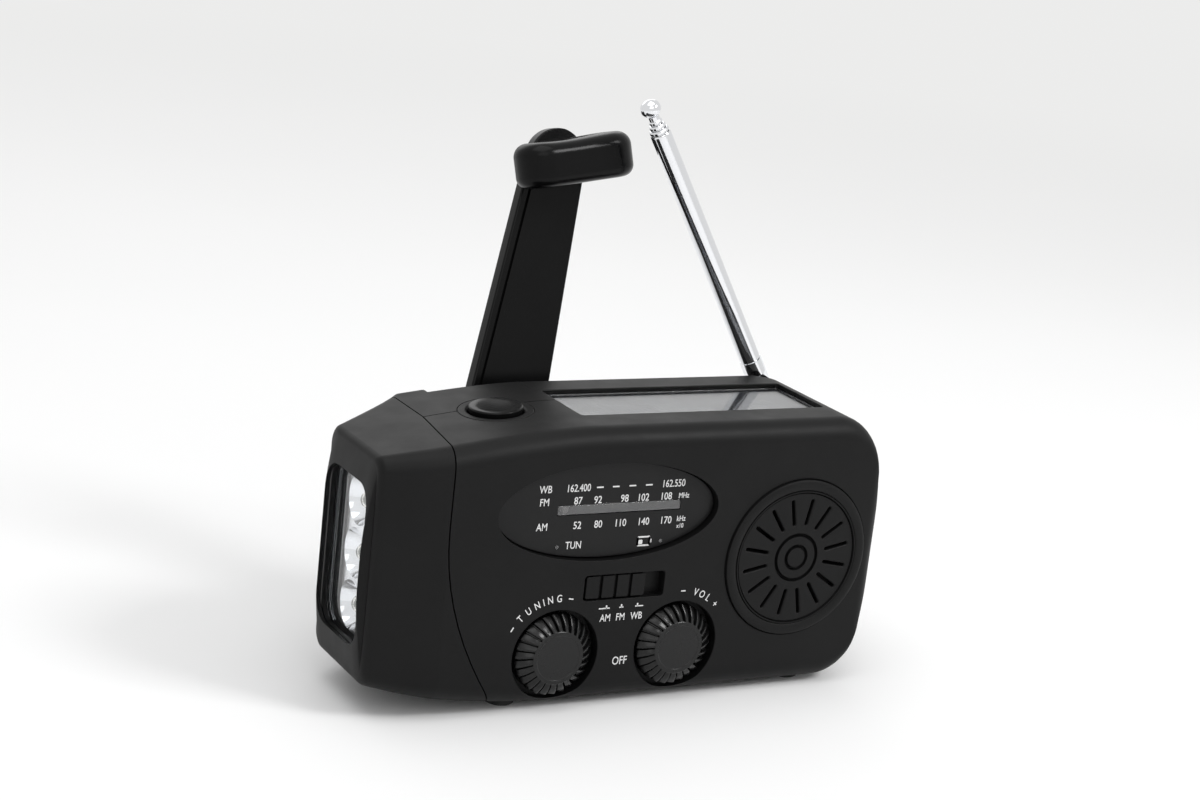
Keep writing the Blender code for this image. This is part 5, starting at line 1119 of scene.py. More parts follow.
def grille_slots():
    """Radial slots, each a narrow way through at the foot of a wide rounded flute."""
    slots = []
    for i in range(GRILLE_SLOTS):
        slot = mouth(flute, "Y", -GRILLE_STEP, OVERRUN / 2, SLOT_FLARE + SLOT_EXTRA)
        turn = Matrix.Rotation(2 * math.pi * (i + 0.5) / GRILLE_SLOTS, 4, "Y")
        slot.transform(at(SPEAKER_X, 0, SPEAKER_Z) @ turn)
        slots.append(slot)
    return slots


def grille_rings():
    """The grooves round the grille's centre, with rounded floors."""
    rings = []
    half = RING_WIDTH / 2
    foot = -GRILLE_STEP + FINE_LIP
    for radius in RING_RADII:
        profile = [(radius - half - FINE_LIP, -OVERRUN), (radius + half + FINE_LIP, -OVERRUN)]
        for k in range(9):
            turn = math.pi * k / 8
            profile.append((radius + half * math.cos(turn), foot + RING_DEPTH * math.sin(turn)))
        rings.append(grille_turned(profile, ROUND_STEPS))
    return rings


def grille_rim():
    """The raised band round the grille: rounded over its crest, with a fine bead inside its foot."""
    top, disc = -GRILLE_RIM_HEIGHT, -GRILLE_STEP
    band_inner = GRILLE_DISC_RADIUS + RIM_BEAD_WIDTH
    middle = (GRILLE_RADIUS + band_inner) / 2
    half = (GRILLE_RADIUS - band_inner) / 2
    profile = [(GRILLE_RADIUS, 0)]
    steps = 12
    for k in range(1, steps):
        turn = math.pi * k / steps
        foot = disc * (1 - math.cos(turn)) / 2
        rise = math.sin(turn) ** RIM_ROUNDNESS
        profile.append((middle + half * math.cos(turn), foot + (top - foot) * rise))
    profile.append((band_inner, disc + RIM_BEAD_WIDTH / 4))
    bead_crest = disc - RIM_BEAD_WIDTH * 0.5
    profile += [(GRILLE_DISC_RADIUS + RIM_BEAD_WIDTH * share, bead_crest) for share in (0.7, 0.3)]
    profile += [(GRILLE_DISC_RADIUS, disc), (0, disc), (0, WALL / 2), (GRILLE_RADIUS, WALL / 2)]
    return grille_turned(profile)


def grille_edge():
    """Fine grooves at the band's outer foot and round the disc."""
    grooves = []
    for radius, level in ((GRILLE_RADIUS, 0), (GRILLE_DISC_RADIUS, -GRILLE_STEP)):
        profile = [
            (radius - RIM_GROOVE, -OVERRUN),
            (radius + RIM_GROOVE, -OVERRUN),
            (radius + RIM_GROOVE, level),
            (radius, level + RIM_GROOVE_DEPTH),
            (radius - RIM_GROOVE, level),
        ]
        grooves.append(grille_turned(profile))
    return grooves


def top_cuts():
    bezel = circle_at((0, 0), BEZEL_RADIUS + FIT_GAP / 2, ROUND_STEPS)
    return [
        mouth(solar_outline, "Z", BODY_TOP, solar_floor()),
        seated(mouth(bezel, "Z", 0, bezel_floor(), FINE_LIP)),
        seated(rod("Z", (0, 0), cage_radius(), cage_floor(), OVERRUN)),
    ]


def foot_cuts():
    sunk = BODY_BOTTOM + FOOT_SUNK + FIT_GAP
    return [rod("Z", place, FOOT_RADIUS + FIT_GAP, -OVERRUN, sunk, SMALL_STEPS) for place in FOOT_PLACES]


def front_cuts():
    cuts = grille_slots() + grille_rings() + grille_edge()
    for x in (0, VOLUME_X):
        cuts.append(mouth(circle_at((x, TUNING_Z), WELL_RADIUS, FINE_STEPS), "Y", 0, WELL_DEPTH))
        cuts.append(rod("Y", (x, TUNING_Z), STEM_RADIUS + FIT_GAP, 0, WELL_DEPTH + OVERRUN, SMALL_STEPS))
    lever_x, lever_z = lever_place()
    half_width = LEVER_WIDTH / 2 + SLIDE_GAP
    half_height = LEVER_HEIGHT / 2 + SLIDE_GAP
    low = (lever_x - half_width, lever_z - half_height)
    high = (lever_x + half_width + BAND_TRAVEL, lever_z + half_height)
    cuts += [
        mouth(slot_outline, "Y", 0, SLOT_DEPTH, FINE_LIP),
        prism(rounded(low, high, SLOT_RADIUS, 2), "Y", 0, WELL_DEPTH + OVERRUN),
        mouth(dial_ellipse, "Y", 0, dial_floor(), LIP / 2),
        prism(dial_ellipse(-DIAL_LEDGE), "Y", 0, dial_floor() + OVERRUN),
    ]
    screw_end = BODY_DEPTH - SCREW_HEAD_SUNK - SCREW_HEAD_HEIGHT - SCREW_LENGTH - FIT_GAP
    cuts += posts(SCREW_PLACES, SCREW_RADIUS + FIT_GAP, screw_end, PARTING_Y + OVERRUN, PIN_STEPS)
    return cuts + top_cuts() + foot_cuts()


def groove_cutter():
    """The antenna's groove, with a soft edge at the top and a rounded inner corner."""
    radius = GROOVE_CORNER
    floor, front = groove_floor(), groove_front()
    outside, above = BODY_DEPTH + OVERRUN, BODY_TOP + OVERRUN
    outline = [(outside, floor), (outside, above), (front - LIP, above)]
    for side, rise in rounding(LIP_STEPS, LIP, LIP):
        outline.append((front - LIP + rise, BODY_TOP - LIP + side))
    for side, rise in rounding(CORNER_STEPS, radius, radius):
        outline.append((front + radius - side, floor + radius - rise))
    return prism(outline, "X", GROOVE_LEFT, ANTENNA_X + POST_WELL)


def rear_cuts():
    hub, post = (CRANK_X, CRANK_Z), (ANTENNA_X, ANTENNA_Y)
    outside = BODY_DEPTH + OVERRUN
    usb, micro = socket_outlines(FIT_GAP)
    hub_floor = BODY_DEPTH - HUB_RECESS - FIT_GAP
    head_floor = BODY_DEPTH - SCREW_HEAD_SUNK - SCREW_HEAD_HEIGHT - FIT_GAP
    cover_floor = BODY_DEPTH - COVER_THICKNESS - FIT_GAP
    post_low, above = groove_floor() - ANTENNA_POST_LENGTH, BODY_TOP + OVERRUN
    swing, swing_floor = foot_swing()
    cuts = [
        mouth(circle_at(hub, HUB_RADIUS + FIT_GAP, ROUND_STEPS), "Y", BODY_DEPTH, hub_floor),
        rod("Y", hub, CRANK_SHAFT_RADIUS + FIT_GAP, PARTING_Y, outside, SMALL_STEPS),
        mouth(pocket_outline, "Y", BODY_DEPTH, pocket_floor()),
        prism(port_outline(0), "Y", port_floor(), outside),
        mouth(lambda margin: port_outline(PORT_LEDGE + margin), "Y", BODY_DEPTH, cover_floor, FINE_LIP),
        prism(usb, "Y", PARTING_Y, outside),
        prism(micro, "Y", PARTING_Y, outside),
        groove_cutter(),
        rod("Z", post, ANTENNA_POST_RADIUS + FIT_GAP, post_low, above, SMALL_STEPS),
        mouth(circle_at(post, swing, ROUND_STEPS), "Z", BODY_TOP, swing_floor, FINE_LIP),
    ]
    for place in SCREW_PLACES:
        head = circle_at(place, SCREW_HEAD_RADIUS + FIT_GAP, SMALL_STEPS)
        cuts.append(rod("Y", place, SCREW_RADIUS + FIT_GAP, PARTING_Y - OVERRUN, outside, PIN_STEPS))
        cuts.append(mouth(head, "Y", BODY_DEPTH, head_floor))
    return cuts + top_cuts() + foot_cuts()


def case_pieces():
    """Front, rear and head mouldings, hollow as in the CAD."""
    front_levels = (-OVERRUN, 0, PARTING_Y - SHELL_GAP / 2)
    rear_levels = (PARTING_Y + SHELL_GAP / 2, BODY_DEPTH, BODY_DEPTH + OVERRUN)

    def hollow(bosses):
        core = combined(case_form(WALL), cutting(bosses))
        solid = bmesh.new()
        solid.from_mesh(core)
        bpy.data.meshes.remove(core)
        return solid

    for name, node, levels, rim, bosses, cuts in (
        ("case_front", "front_shell", front_levels, [("UNION", grille_rim())], front_bosses, front_cuts),
        ("case_rear", "rear_shell", rear_levels, [], rear_bosses, rear_cuts),
    ):
        steps = rim + [("INTERSECT", seam_region(1, levels))]
        steps += cutting([hollow(bosses() + shared_bosses()), *cuts()])
        piece(name, combined(case_form(), steps), CASE, "case", stands_for=[node])

    end = head_end(WINDOW_HALF_HEIGHT / (BODY_TOP / 2))
    inside = HEAD_RIM_X + OVERRUN
    steps = [("INTERSECT", seam_region(-1, front_levels + rear_levels))]
    steps += cutting([
        case_form(WALL),
        mouth(window_outline, "X", end, inside, 2 * LIP),
        prism(lens_outline(FIT_GAP), "X", lens_face() - FIT_GAP, inside),
    ])
    piece("case_head", combined(case_form(), steps), CASE, "case", stands_for=["head_shell"])


# Torch


def torch():
    """The clear lens in its sleeve, the plated reflector with its cups, and an LED in each."""
    seat = lens_face()
    front = seat + SLEEVE_DEPTH
    opening = prism(window_outline(0), "X", seat - OVERRUN, front + OVERRUN)
    sleeve = combined(prism(lens_outline(0), "X", seat, front - FIT_GAP / 3), cutting([opening]))
    piece("torch_sleeve", sleeve, CASE, "case")
    lens = soft_prism(lens_outline, "X", front, front + LENS_THICKNESS)
    piece("torch_lens", lens, CLEAR, "case", stands_for=["lens_plate"])
    face = front + LENS_THICKNESS + FIT_GAP
    back = seat + LENS_THICKNESS + FIT_GAP + REFLECTOR_DEPTH
    hole, edge = LED_RADIUS + FIT_GAP, CUP_RADIUS + WALL / 8
    places = [(WINDOW_Y, WINDOW_Z + CUP_PITCH * (i - 1)) for i in range(LED_COUNT)]
    profile = [(0, face - WALL), (edge, face - WALL), (edge, face)]
    steps = 12
    for k in range(steps + 1):
        share = k / steps
        radius = hole + (CUP_RADIUS - hole) * math.sqrt(1 - share * CUP_FALL_SHARE)
        profile.append((radius, face + (back - WALL / 2 - face) * share))
    profile += [(hole, back + WALL), (0, back + WALL)]
    cups = cutting([turned(profile, "X", place) for place in places])
    reflector = combined(prism(lens_outline(-REFLECTOR_MARGIN), "X", face, back), cups)
    piece("torch_reflector", reflector, MIRROR, "case", stands_for=["reflector"])
    tip = back - LED_LENGTH + SLEEVE_DEPTH / 2
    profile = [(0, tip)]
    for turn in quarter(8)[1:]:
        profile.append((LED_RADIUS * math.sin(turn), tip + LED_RADIUS * (1 - math.cos(turn))))
    profile += [(LED_RADIUS, back - FIT_GAP), (0, back - FIT_GAP)]
    for i, place in enumerate(places):
        dome = turned(profile, "X", place, SMALL_STEPS)
        node = f"torch_led_{i + 1}"
        piece(f"led_dome_{i + 1}", dome, LED_CLEAR, "case", stands_for=[node])


# Controls


def knob(name, node, body, x):
    """A knob: flat face with a soft edge, a skirt of slanted ribs, and its stem."""
    samples = len(KNOB_RIB_SHARES)
    count = KNOB_RIBS * samples
    face_y = -KNOB_PROUD
    back_y = WELL_DEPTH - SLIDE_GAP
    slope = Vector((KNOB_RIM_Y - face_y, -(KNOB_RADIUS - KNOB_FACE_RADIUS))).normalized()
    rings = []

    def ring(radius, y, notch=0.0, twist=0.0):
        points = []
        for i in range(count):
            sunk = notch * KNOB_RIB_SHARES[i % samples]
            turn = 2 * math.pi * (i / count + twist / KNOB_RIBS)
            reach = radius - sunk * slope.x
            depth = y - sunk * slope.y
            points.append(Vector((reach * math.cos(turn), depth, reach * math.sin(turn))))
        rings.append(points)

    for inset, drop in KNOB_FACE_RINGS:
        ring(KNOB_FACE_RADIUS - inset, face_y + drop)
    ring(KNOB_FACE_RADIUS - KNOB_SOFT / 3, face_y)
    ring(KNOB_FACE_RADIUS, face_y + KNOB_SOFT / 4)
    stations = 9
    steepness, start = KNOB_NOTCH_RISE
    for k in range(stations + 1):
        share = k / stations
        radius = KNOB_FACE_RADIUS + (KNOB_RADIUS - KNOB_FACE_RADIUS) * share
        y = face_y + (KNOB_RIM_Y - face_y) * share - KNOB_BOW * math.sin(math.pi * share)
        notch = KNOB_NOTCH * min(1.0, steepness * (share + start))
        ring(radius, y + KNOB_SOFT / 4, notch, KNOB_SWEEP * share)
    ring(KNOB_RADIUS, KNOB_RIM_Y + 2 * KNOB_SOFT, KNOB_NOTCH, KNOB_SWEEP)
    ring(KNOB_RADIUS, back_y, KNOB_NOTCH, KNOB_SWEEP)
    stem_end = WELL_DEPTH + BOSS_WALL
    stem = rod("Y", (0, 0), STEM_RADIUS, back_y - WALL, stem_end, SMALL_STEPS)
    bore_end = stem_end - SHAFT_ENGAGE - FIT_GAP
    bore = rod("Y", (0, 0), SHAFT_RADIUS + FIT_GAP, bore_end, OVERRUN, PIN_STEPS)
    mesh = combined(loft(rings), [("UNION", stem), ("DIFFERENCE", bore)])
    piece(name, mesh, KNOB, body, at(x, 0, TUNING_Z), [node], angle=30)


def band_slider():
    """The slider with rounded segments between its grooves, and its lever."""
    x, z = lever_place()
    half_height = (SLOT_TOP - SLOT_BOTTOM) / 2 - SLIDE_GAP
    back = SLOT_DEPTH - FIT_GAP
    lever_end = WELL_DEPTH + BOSS_WALL + DRUM_THICKNESS + 2 * FIT_GAP + SHAFT_ENGAGE / 2

    def outline_at(margin):
        return around((0, 0), SLIDER_WIDTH / 2 + margin, half_height + margin, SLOT_RADIUS / 2 + margin)

    body = soft_prism(outline_at, "Y", SLIDER_RECESS, back, FINE_LIP)
    lever = around((0, 0), LEVER_WIDTH / 2, LEVER_HEIGHT / 2, FIT_GAP, 2)
    steps = [("UNION", prism(lever, "Y", back - WALL / 2, lever_end))]
    floor = SLIDER_RECESS + SLIDER_GROOVE_DEPTH
    for i in range(SLIDER_GROOVES):
        middle = SLIDER_WIDTH * ((i + 1) / (SLIDER_GROOVES + 1) - 0.5)

        def groove_at(margin):
            return around((middle, 0), SLIDER_GROOVE_WIDTH / 2 + margin, half_height + WALL, FINE_LIP, 1)

        steps += cutting([mouth(groove_at, "Y", SLIDER_RECESS, floor, FINE_LIP)])
    cap = combined(body, steps)
    piece("band_slider_cap", cap, CASE, "band", at(x, 0, z), ["band_slider"])


def torch_button():
    """The button's ring and its cap, whose face is dished."""
    seat = button_seat()
    ring_low = bezel_floor() + FIT_GAP
    bore = BUTTON_RADIUS + FIT_GAP
    chamfer, soft = BEZEL_DEPTH / 3, FINE_LIP
    profile = [
        (bore, ring_low),
        (BEZEL_RADIUS, ring_low),
        (BEZEL_RADIUS, -soft),
        (BEZEL_RADIUS - soft, 0),
        (bore + chamfer + soft, 0),
        (bore + chamfer / 2, -chamfer / 3),
        (bore, -chamfer),
    ]
    ring = turned(profile, "Z", (0, 0), ROUND_STEPS, closed=True)
    piece("button_bezel", ring, CASE, "case", seat, ["button_ring"])
    flange = BUTTON_RADIUS + BUTTON_FLANGE
    flange_top = ring_low - FIT_GAP
    flange_low = flange_top - BUTTON_FLANGE_HEIGHT
    stem_low = cage_floor() + FIT_GAP + SWITCH_HEIGHT + BUTTON_TRAVEL + FIT_GAP
    profile = [
        (0, stem_low),
        (BUTTON_FLANGE, stem_low),
        (BUTTON_FLANGE, flange_low),
        (flange, flange_low),
        (flange, flange_top),
        (BUTTON_RADIUS, flange_top),
    ]
    edge = BUTTON_DOME
    for side, rise in rounding(6, edge, edge):
        profile.append((BUTTON_RADIUS - edge + side, BUTTON_PROUD - edge + rise))
    dish, steps = BUTTON_RADIUS * BUTTON_DISH_SHARE, 8
    for k in range(steps + 1):
        share = k / steps
        profile.append((dish * (1 - share), BUTTON_PROUD - BUTTON_DISH * math.sin(math.pi / 2 * share)))
    cap = turned(profile, "Z", (0, 0), ROUND_STEPS)
    piece("torch_button_cap", cap, SATIN, "button", seat, ["torch_button"])


# Crank


def arm_half_width(reach):
    share = reach / ARM_RADIUS
    return (ARM_BASE_WIDTH + (ARM_END_WIDTH - ARM_BASE_WIDTH) * share) / 2


def crank_places():
    """Where the hub, the arm's hinge and the grip's pin are, turned as they rest."""
    axis = at(CRANK_X, 0, CRANK_Z) @ Matrix.Rotation(CRANK_LEAN, 4, "Y")
    fold = axis @ at(0, HINGE_Y, 0) @ Matrix.Rotation(-ARM_TILT, 4, "X")
    spin = fold @ at(0, grip_centre(), ARM_RADIUS) @ Matrix.Rotation(-GRIP_SPIN, 4, "Y")
    return axis, fold, spin


def grip_centre():
    """Y of the grip's middle from the arm's."""
    return -ARM_THICKNESS / 2 - FIT_GAP - GRIP_DEPTH / 2


def arm_solid():
    """The arm's plate, edges rounded, from its round hinge edge to its round end."""
    half = ARM_THICKNESS / 2
    end = arm_half_width(ARM_RADIUS)
    rings = []

    def ring(z, half_width, half_thickness):
        radius = min(ARM_SOFT_EDGE, half_thickness * ARM_SOFT_SHARE, half_width * ARM_SOFT_SHARE)
        outline = around((0, 0), half_width, half_thickness, radius, 4)
        rings.append([mapped("Z", u, v, z) for u, v in outline])

    turns = 8
    for k in range(turns + 1):
        turn = math.radians(ARM_HINGE_TURN * k / turns - ARM_HINGE_TURN)
        ring(half * math.sin(turn), arm_half_width(0), half * math.cos(turn))
    turns = 24
    for k in range(turns + 1):
        turn = math.radians(ARM_END_TURN * k / turns)
        ring(ARM_RADIUS + end * math.sin(turn), end * math.cos(turn), half)
    return loft(rings)


def arm_panel(inset, low):
    """The arm's outline, `inset` inside its edge, round at the grip's end."""
    end = arm_half_width(ARM_RADIUS) - inset
    outline = [(-(arm_half_width(0) - inset), low), (arm_half_width(0) - inset, low)]
    turns = SMALL_STEPS // 2
    for i in range(turns + 1):
        turn = math.pi * i / turns
        outline.append((end * math.cos(turn), ARM_RADIUS + end * math.sin(turn)))
    return outline


def crank():
    """The hub with its ear, the arm with its panel and its groove, and the grip."""
    axis, fold, spin = crank_places()
    front = BODY_DEPTH - HUB_RECESS
    back = front + HUB_THICKNESS
    half = ARM_THICKNESS / 2
    disc = soft_prism(circle_at((0, 0), HUB_RADIUS, ROUND_STEPS), "Y", front, back, HUB_LIP)
    outline = [(back - FIT_GAP, -half)]
    turns = SMALL_STEPS // 2
    for i in range(turns + 1):
        turn = math.pi * (i / turns - 0.5)
        outline.append((HINGE_Y + half * math.cos(turn), half * math.sin(turn)))
    outline.append((back - FIT_GAP, half))
    ear = prism(outline, "X", -EAR_WIDTH / 2, EAR_WIDTH / 2)
    shaft_end, pin_hole = front + SHAFT_IN_HUB + FIT_GAP, HINGE_PIN_RADIUS + FIT_GAP / 2
    steps = [("UNION", ear)] + cutting([
        rod("Y", (0, 0), CRANK_SHAFT_RADIUS + FIT_GAP, 0, shaft_end, SMALL_STEPS),
        rod("X", (HINGE_Y, 0), pin_hole, -HUB_RADIUS, HUB_RADIUS, PIN_STEPS),
    ])
    piece("hub_moulding", combined(disc, steps), CASE, "crank", axis, ["crank_hub"])

    low = half + 2 * FIT_GAP
    fork = around((0, 0), EAR_WIDTH / 2 + FIT_GAP, low, FIT_GAP, 2)
    groove_outer = arm_half_width(0) - ARM_GROOVE_INSET
    groove_top = arm_half_width(ARM_RADIUS) - ARM_GROOVE_INSET
    groove = [
        (-groove_outer, low),
        (-groove_outer + ARM_GROOVE_WIDTH, low),
        (-groove_top + ARM_GROOVE_WIDTH, ARM_RADIUS),
        (-groove_top, ARM_RADIUS),
    ]
    steps = cutting([
        prism(fork, "Y", -OVERRUN, OVERRUN),
        rod("X", (0, 0), pin_hole, -2 * OVERRUN, 2 * OVERRUN, PIN_STEPS),
        rod("Y", (0, ARM_RADIUS), GRIP_PIN_RADIUS + FIT_GAP, -OVERRUN, OVERRUN, SMALL_STEPS),
        prism(arm_panel(ARM_RIM, half + 4 * ARM_RIM), "Y", half - ARM_RIM_DEPTH, OVERRUN),
        prism(groove, "Y", -OVERRUN, -half + ARM_GROOVE_DEPTH),
    ])
    piece("arm_moulding", combined(arm_solid(), steps), SATIN, "arm", fold, ["crank_arm"])
    grip(spin, fold)


def grip_outline(inset):
    """The grip seen from above: a bar with round ends, its sides cut into short runs for the hollow."""
    half_width, radius = GRIP_WIDTH / 2 - inset, GRIP_DEPTH / 2 - inset
    straight = half_width - radius
    outline = []
    turns, runs = 3 * CORNER_STEPS, 4 * CORNER_STEPS
    for side in (1, -1):
        for k in range(turns):
            turn = math.pi * (k / turns - 0.5)
            outline.append((side * (straight + radius * math.cos(turn)), side * radius * math.sin(turn)))
        for k in range(runs):
            outline.append((side * straight * (1 - 2 * k / runs), side * radius))
    return outline


def grip_form():
    """The whole grip: full round edges above and below, and a thumb's hollow across its top."""
    half = GRIP_HEIGHT / 2
    turns = quarter(2 * CORNER_STEPS)
    under, top = GRIP_UNDER_EDGE, GRIP_TOP_EDGE
    levels = [(-half + under * (1 - math.cos(turn)), under * (1 - math.sin(turn))) for turn in turns]
    levels += [(half - top * (1 - math.sin(turn)), top * (1 - math.cos(turn))) for turn in turns]
    inner = GRIP_DEPTH / 2 - FIT_GAP
    steps = 4
    levels += [(half, top + (inner - top) * k / steps) for k in range(1, steps + 1)]
    rings = []
    for level, inset in levels:
        ring = []
        for u, v in grip_outline(inset):
            spread = (u - GRIP_HOLLOW_X) / GRIP_HOLLOW_REACH
            share = min(max(level / half, 0.0), 1.0)
            ring.append(Vector((u, v, level - GRIP_HOLLOW * math.exp(-spread * spread) * share * share)))
        rings.append(ring)
    return loft(rings)


def grip(spin, fold):
    """The grip's two halves and the rivet that holds them to the arm."""
    parting = GRIP_DEPTH * (0.5 - GRIP_PARTING_SHARE)
    pin_end = parting - GRIP_PIN_IN_FRONT
    far = GRIP_WIDTH
    for name, node, low, high in (
        ("grip_rear", "grip_rear_half", parting + FIT_GAP / 2, far),
        ("grip_front", "grip_front_half", -far, parting - FIT_GAP / 2),
    ):
        block = prism([(-far, -far), (far, -far), (far, far), (-far, far)], "Y", low, high)
        bore = rod("Y", (0, 0), GRIP_PIN_RADIUS + FIT_GAP, pin_end - FIT_GAP, far, SMALL_STEPS)
        mesh = combined(grip_form(), [("INTERSECT", block), ("DIFFERENCE", bore)])
        piece(name, mesh, SATIN, "grip", spin, [node], angle=40)
    pin_low = grip_centre() + pin_end
    head_low = ARM_THICKNESS / 2 - ARM_RIM_DEPTH + FIT_GAP
    profile = [(0, pin_low), (GRIP_PIN_RADIUS, pin_low), (GRIP_PIN_RADIUS, head_low)]
    for side, rise in rounding(5, GRIP_PIN_HEAD_RADIUS, GRIP_PIN_HEAD)[:-1]:
        profile.append((side, head_low + rise))
    profile.append((0, head_low + GRIP_PIN_HEAD))
    rivet = turned(profile, "Y", (0, ARM_RADIUS), SMALL_STEPS)
    piece("grip_rivet", rivet, STEEL, "arm", fold, ["grip_pin"])


# Antenna


def section_radius(index):
    return ANTENNA_RADIUS - index * (ANTENNA_WALL + ANTENNA_SLIP)


def antenna():
    """Post, foot and four tubes, each collar and the ball tip turned fine."""
    post = at(ANTENNA_X, ANTENNA_Y, ANTENNA_Z)
    shoulder = groove_floor() + FIT_GAP - ANTENNA_Z
    bottom = groove_floor() - ANTENNA_POST_LENGTH + FIT_GAP - ANTENNA_Z
    top = FORK_RADIUS * FORK_CROWN_SHARE
    radius = ANTENNA_POST_RADIUS
    profile = [(0, bottom), (radius, bottom), (radius, shoulder), (FORK_RADIUS, shoulder)]
    for side, rise in rounding(6, 1 - FORK_FLAT_SHARE, top):
        profile.append((FORK_RADIUS * (FORK_FLAT_SHARE + side), rise))
    profile.append((0, top))
    slot_half = TONGUE_WIDTH / 2 + ANTENNA_SLIP
    slot_low = -ANTENNA_RADIUS - ANTENNA_SLIP
    outline = [(-OVERRUN, slot_low), (OVERRUN, slot_low), (OVERRUN, OVERRUN), (-OVERRUN, OVERRUN)]
    steps = cutting([prism(outline, "Y", -slot_half, slot_half), antenna_pin_hole()])
    fork = combined(turned(profile, "Z", (0, 0), SMALL_STEPS), steps)
    piece("antenna_fork", fork, CHROME, "mast_post", post, ["antenna_post"])

    tilt = post @ Matrix.Rotation(-ANTENNA_LEAN, 4, "Y")
    radius = ANTENNA_RADIUS
    tongue = ellipse((0, 0), radius, radius, SMALL_STEPS)[SMALL_STEPS // 2:]
    tongue += [(radius, FOOT_LENGTH), (-radius, FOOT_LENGTH)]
    neck, rim, end = foot_neck(), FOOT_LENGTH - FIT_GAP, FOOT_LENGTH + radius
    sleeve = section_radius(0) - ANTENNA_WALL - ANTENNA_SLIP
    profile = [(0, neck), (radius * 0.85, neck), (radius, neck + FIT_GAP), (radius, rim)]
    profile += [(sleeve, rim), (sleeve, end), (0, end)]
    socket = turned(profile, "Z", (0, 0), SMALL_STEPS)
    blade = prism(tongue, "Y", -TONGUE_WIDTH / 2, TONGUE_WIDTH / 2)
    foot = combined(blade, [("UNION", socket), ("DIFFERENCE", antenna_pin_hole())])
    piece("antenna_knuckle", foot, CHROME, "mast", tilt, ["antenna_foot"])
    for index, body in enumerate(("mast", "mast_2", "mast_3", "mast_4")):
        antenna_tube(index, body, tilt)


def antenna_pin_hole():
    return rod("Y", (0, 0), ANTENNA_PIN_RADIUS + ANTENNA_SLIP, -OVERRUN, OVERRUN, PIN_STEPS)


def antenna_tube(index, body, tilt):
    """One tube with its rolled collar; the last one carries the ball."""
    radius = section_radius(index)
    top = ANTENNA_TUBE + FOOT_LENGTH + SECTION_SHOW * index
    low = FOOT_LENGTH + (ANTENNA_RADIUS + FIT_GAP * (index + 1) if index else 0)
    bore = radius - ANTENNA_WALL
    last = index == ANTENNA_SECTIONS - 1
    profile = [(0 if last else bore, low), (radius, low)]
    soft = COLLAR_SOFT
    if index:
        collar = section_radius(index - 1) - ANTENNA_SLIP
        collar_low = top - SECTION_SHOW + FIT_GAP
        profile += [(radius, collar_low), (collar - soft, collar_low), (collar, collar_low + soft)]
        profile += [(collar, top - 2 * soft), (collar - 2 * soft, top)]
    else:
        profile += [(radius, top - 3 * soft), (radius - soft, top - soft), (radius - 1.5 * soft, top)]
    if last:
        rise = TIP_RADIUS * TIP_FLAT_SHARE
        ball = top + TIP_NECK + rise
        profile += [(radius, top), (radius, ball - rise * TIP_SEAT_SHARE)]
        start, sweep = TIP_TURNS
        steps = 14
        for k in range(steps):
            turn = math.radians(start + sweep * k / steps)
            profile.append((TIP_RADIUS * math.cos(turn), ball + rise * math.sin(turn)))
        profile.append((0, ball + rise))
    else:
        profile.append((bore, top))
    tube = turned(profile, "Z", (0, 0), SMALL_STEPS, closed=not last)
    node = f"antenna_section_{index + 1}"
    piece(f"antenna_tube_{index + 1}", tube, CHROME, body, tilt, [node])


# Smaller visible pieces


def screws():
    """Case screws with a cross recess."""
    head_back = BODY_DEPTH - SCREW_HEAD_SUNK
    head_front = head_back - SCREW_HEAD_HEIGHT
    tip = head_front - SCREW_LENGTH
    edge, face = (SCREW_HEAD_RADIUS * share for share in SCREW_EDGE_SHARES)
    arm, width = (SCREW_HEAD_RADIUS * share for share in CROSS_SHARES[:2])
    floor = head_back - SCREW_HEAD_HEIGHT * CROSS_SHARES[2]
    profile = [
        (0, tip),
        (SCREW_RADIUS, tip),
        (SCREW_RADIUS, head_front),
        (SCREW_HEAD_RADIUS, head_front),
        (SCREW_HEAD_RADIUS, head_back - FIT_GAP),
        (edge, head_back - FIT_GAP / 3),
        (face, head_back),
        (0, head_back),
    ]
    for i, place in enumerate(SCREW_PLACES):
        bars = [around(place, *half, width / 2, 2) for half in ((arm, width), (width, arm))]
        recess = cutting([prism(bar, "Y", floor, head_back + OVERRUN) for bar in bars])
        head = combined(turned(profile, "Y", place, SMALL_STEPS), recess)
        piece(f"cross_screw_{i + 1}", head, STEEL, "case", stands_for=[f"case_screw_{i + 1}"])


def feet():
    """Rubber feet with a round lower edge."""
    edge = FOOT_HEIGHT / 4
    top = BODY_BOTTOM + FOOT_SUNK
    profile = [(0, 0), (FOOT_RADIUS - edge, 0)]
    for turn in quarter(5)[1:]:
        profile.append((FOOT_RADIUS - edge + edge * math.sin(turn), edge * (1 - math.cos(turn))))
    profile += [(FOOT_RADIUS, top), (0, top)]
    for i, place in enumerate(FOOT_PLACES):
        foot = turned(profile, "Z", place, SMALL_STEPS)
        piece(f"rubber_foot_{i + 1}", foot, RUBBER, "case", stands_for=[f"foot_{i + 1}"])


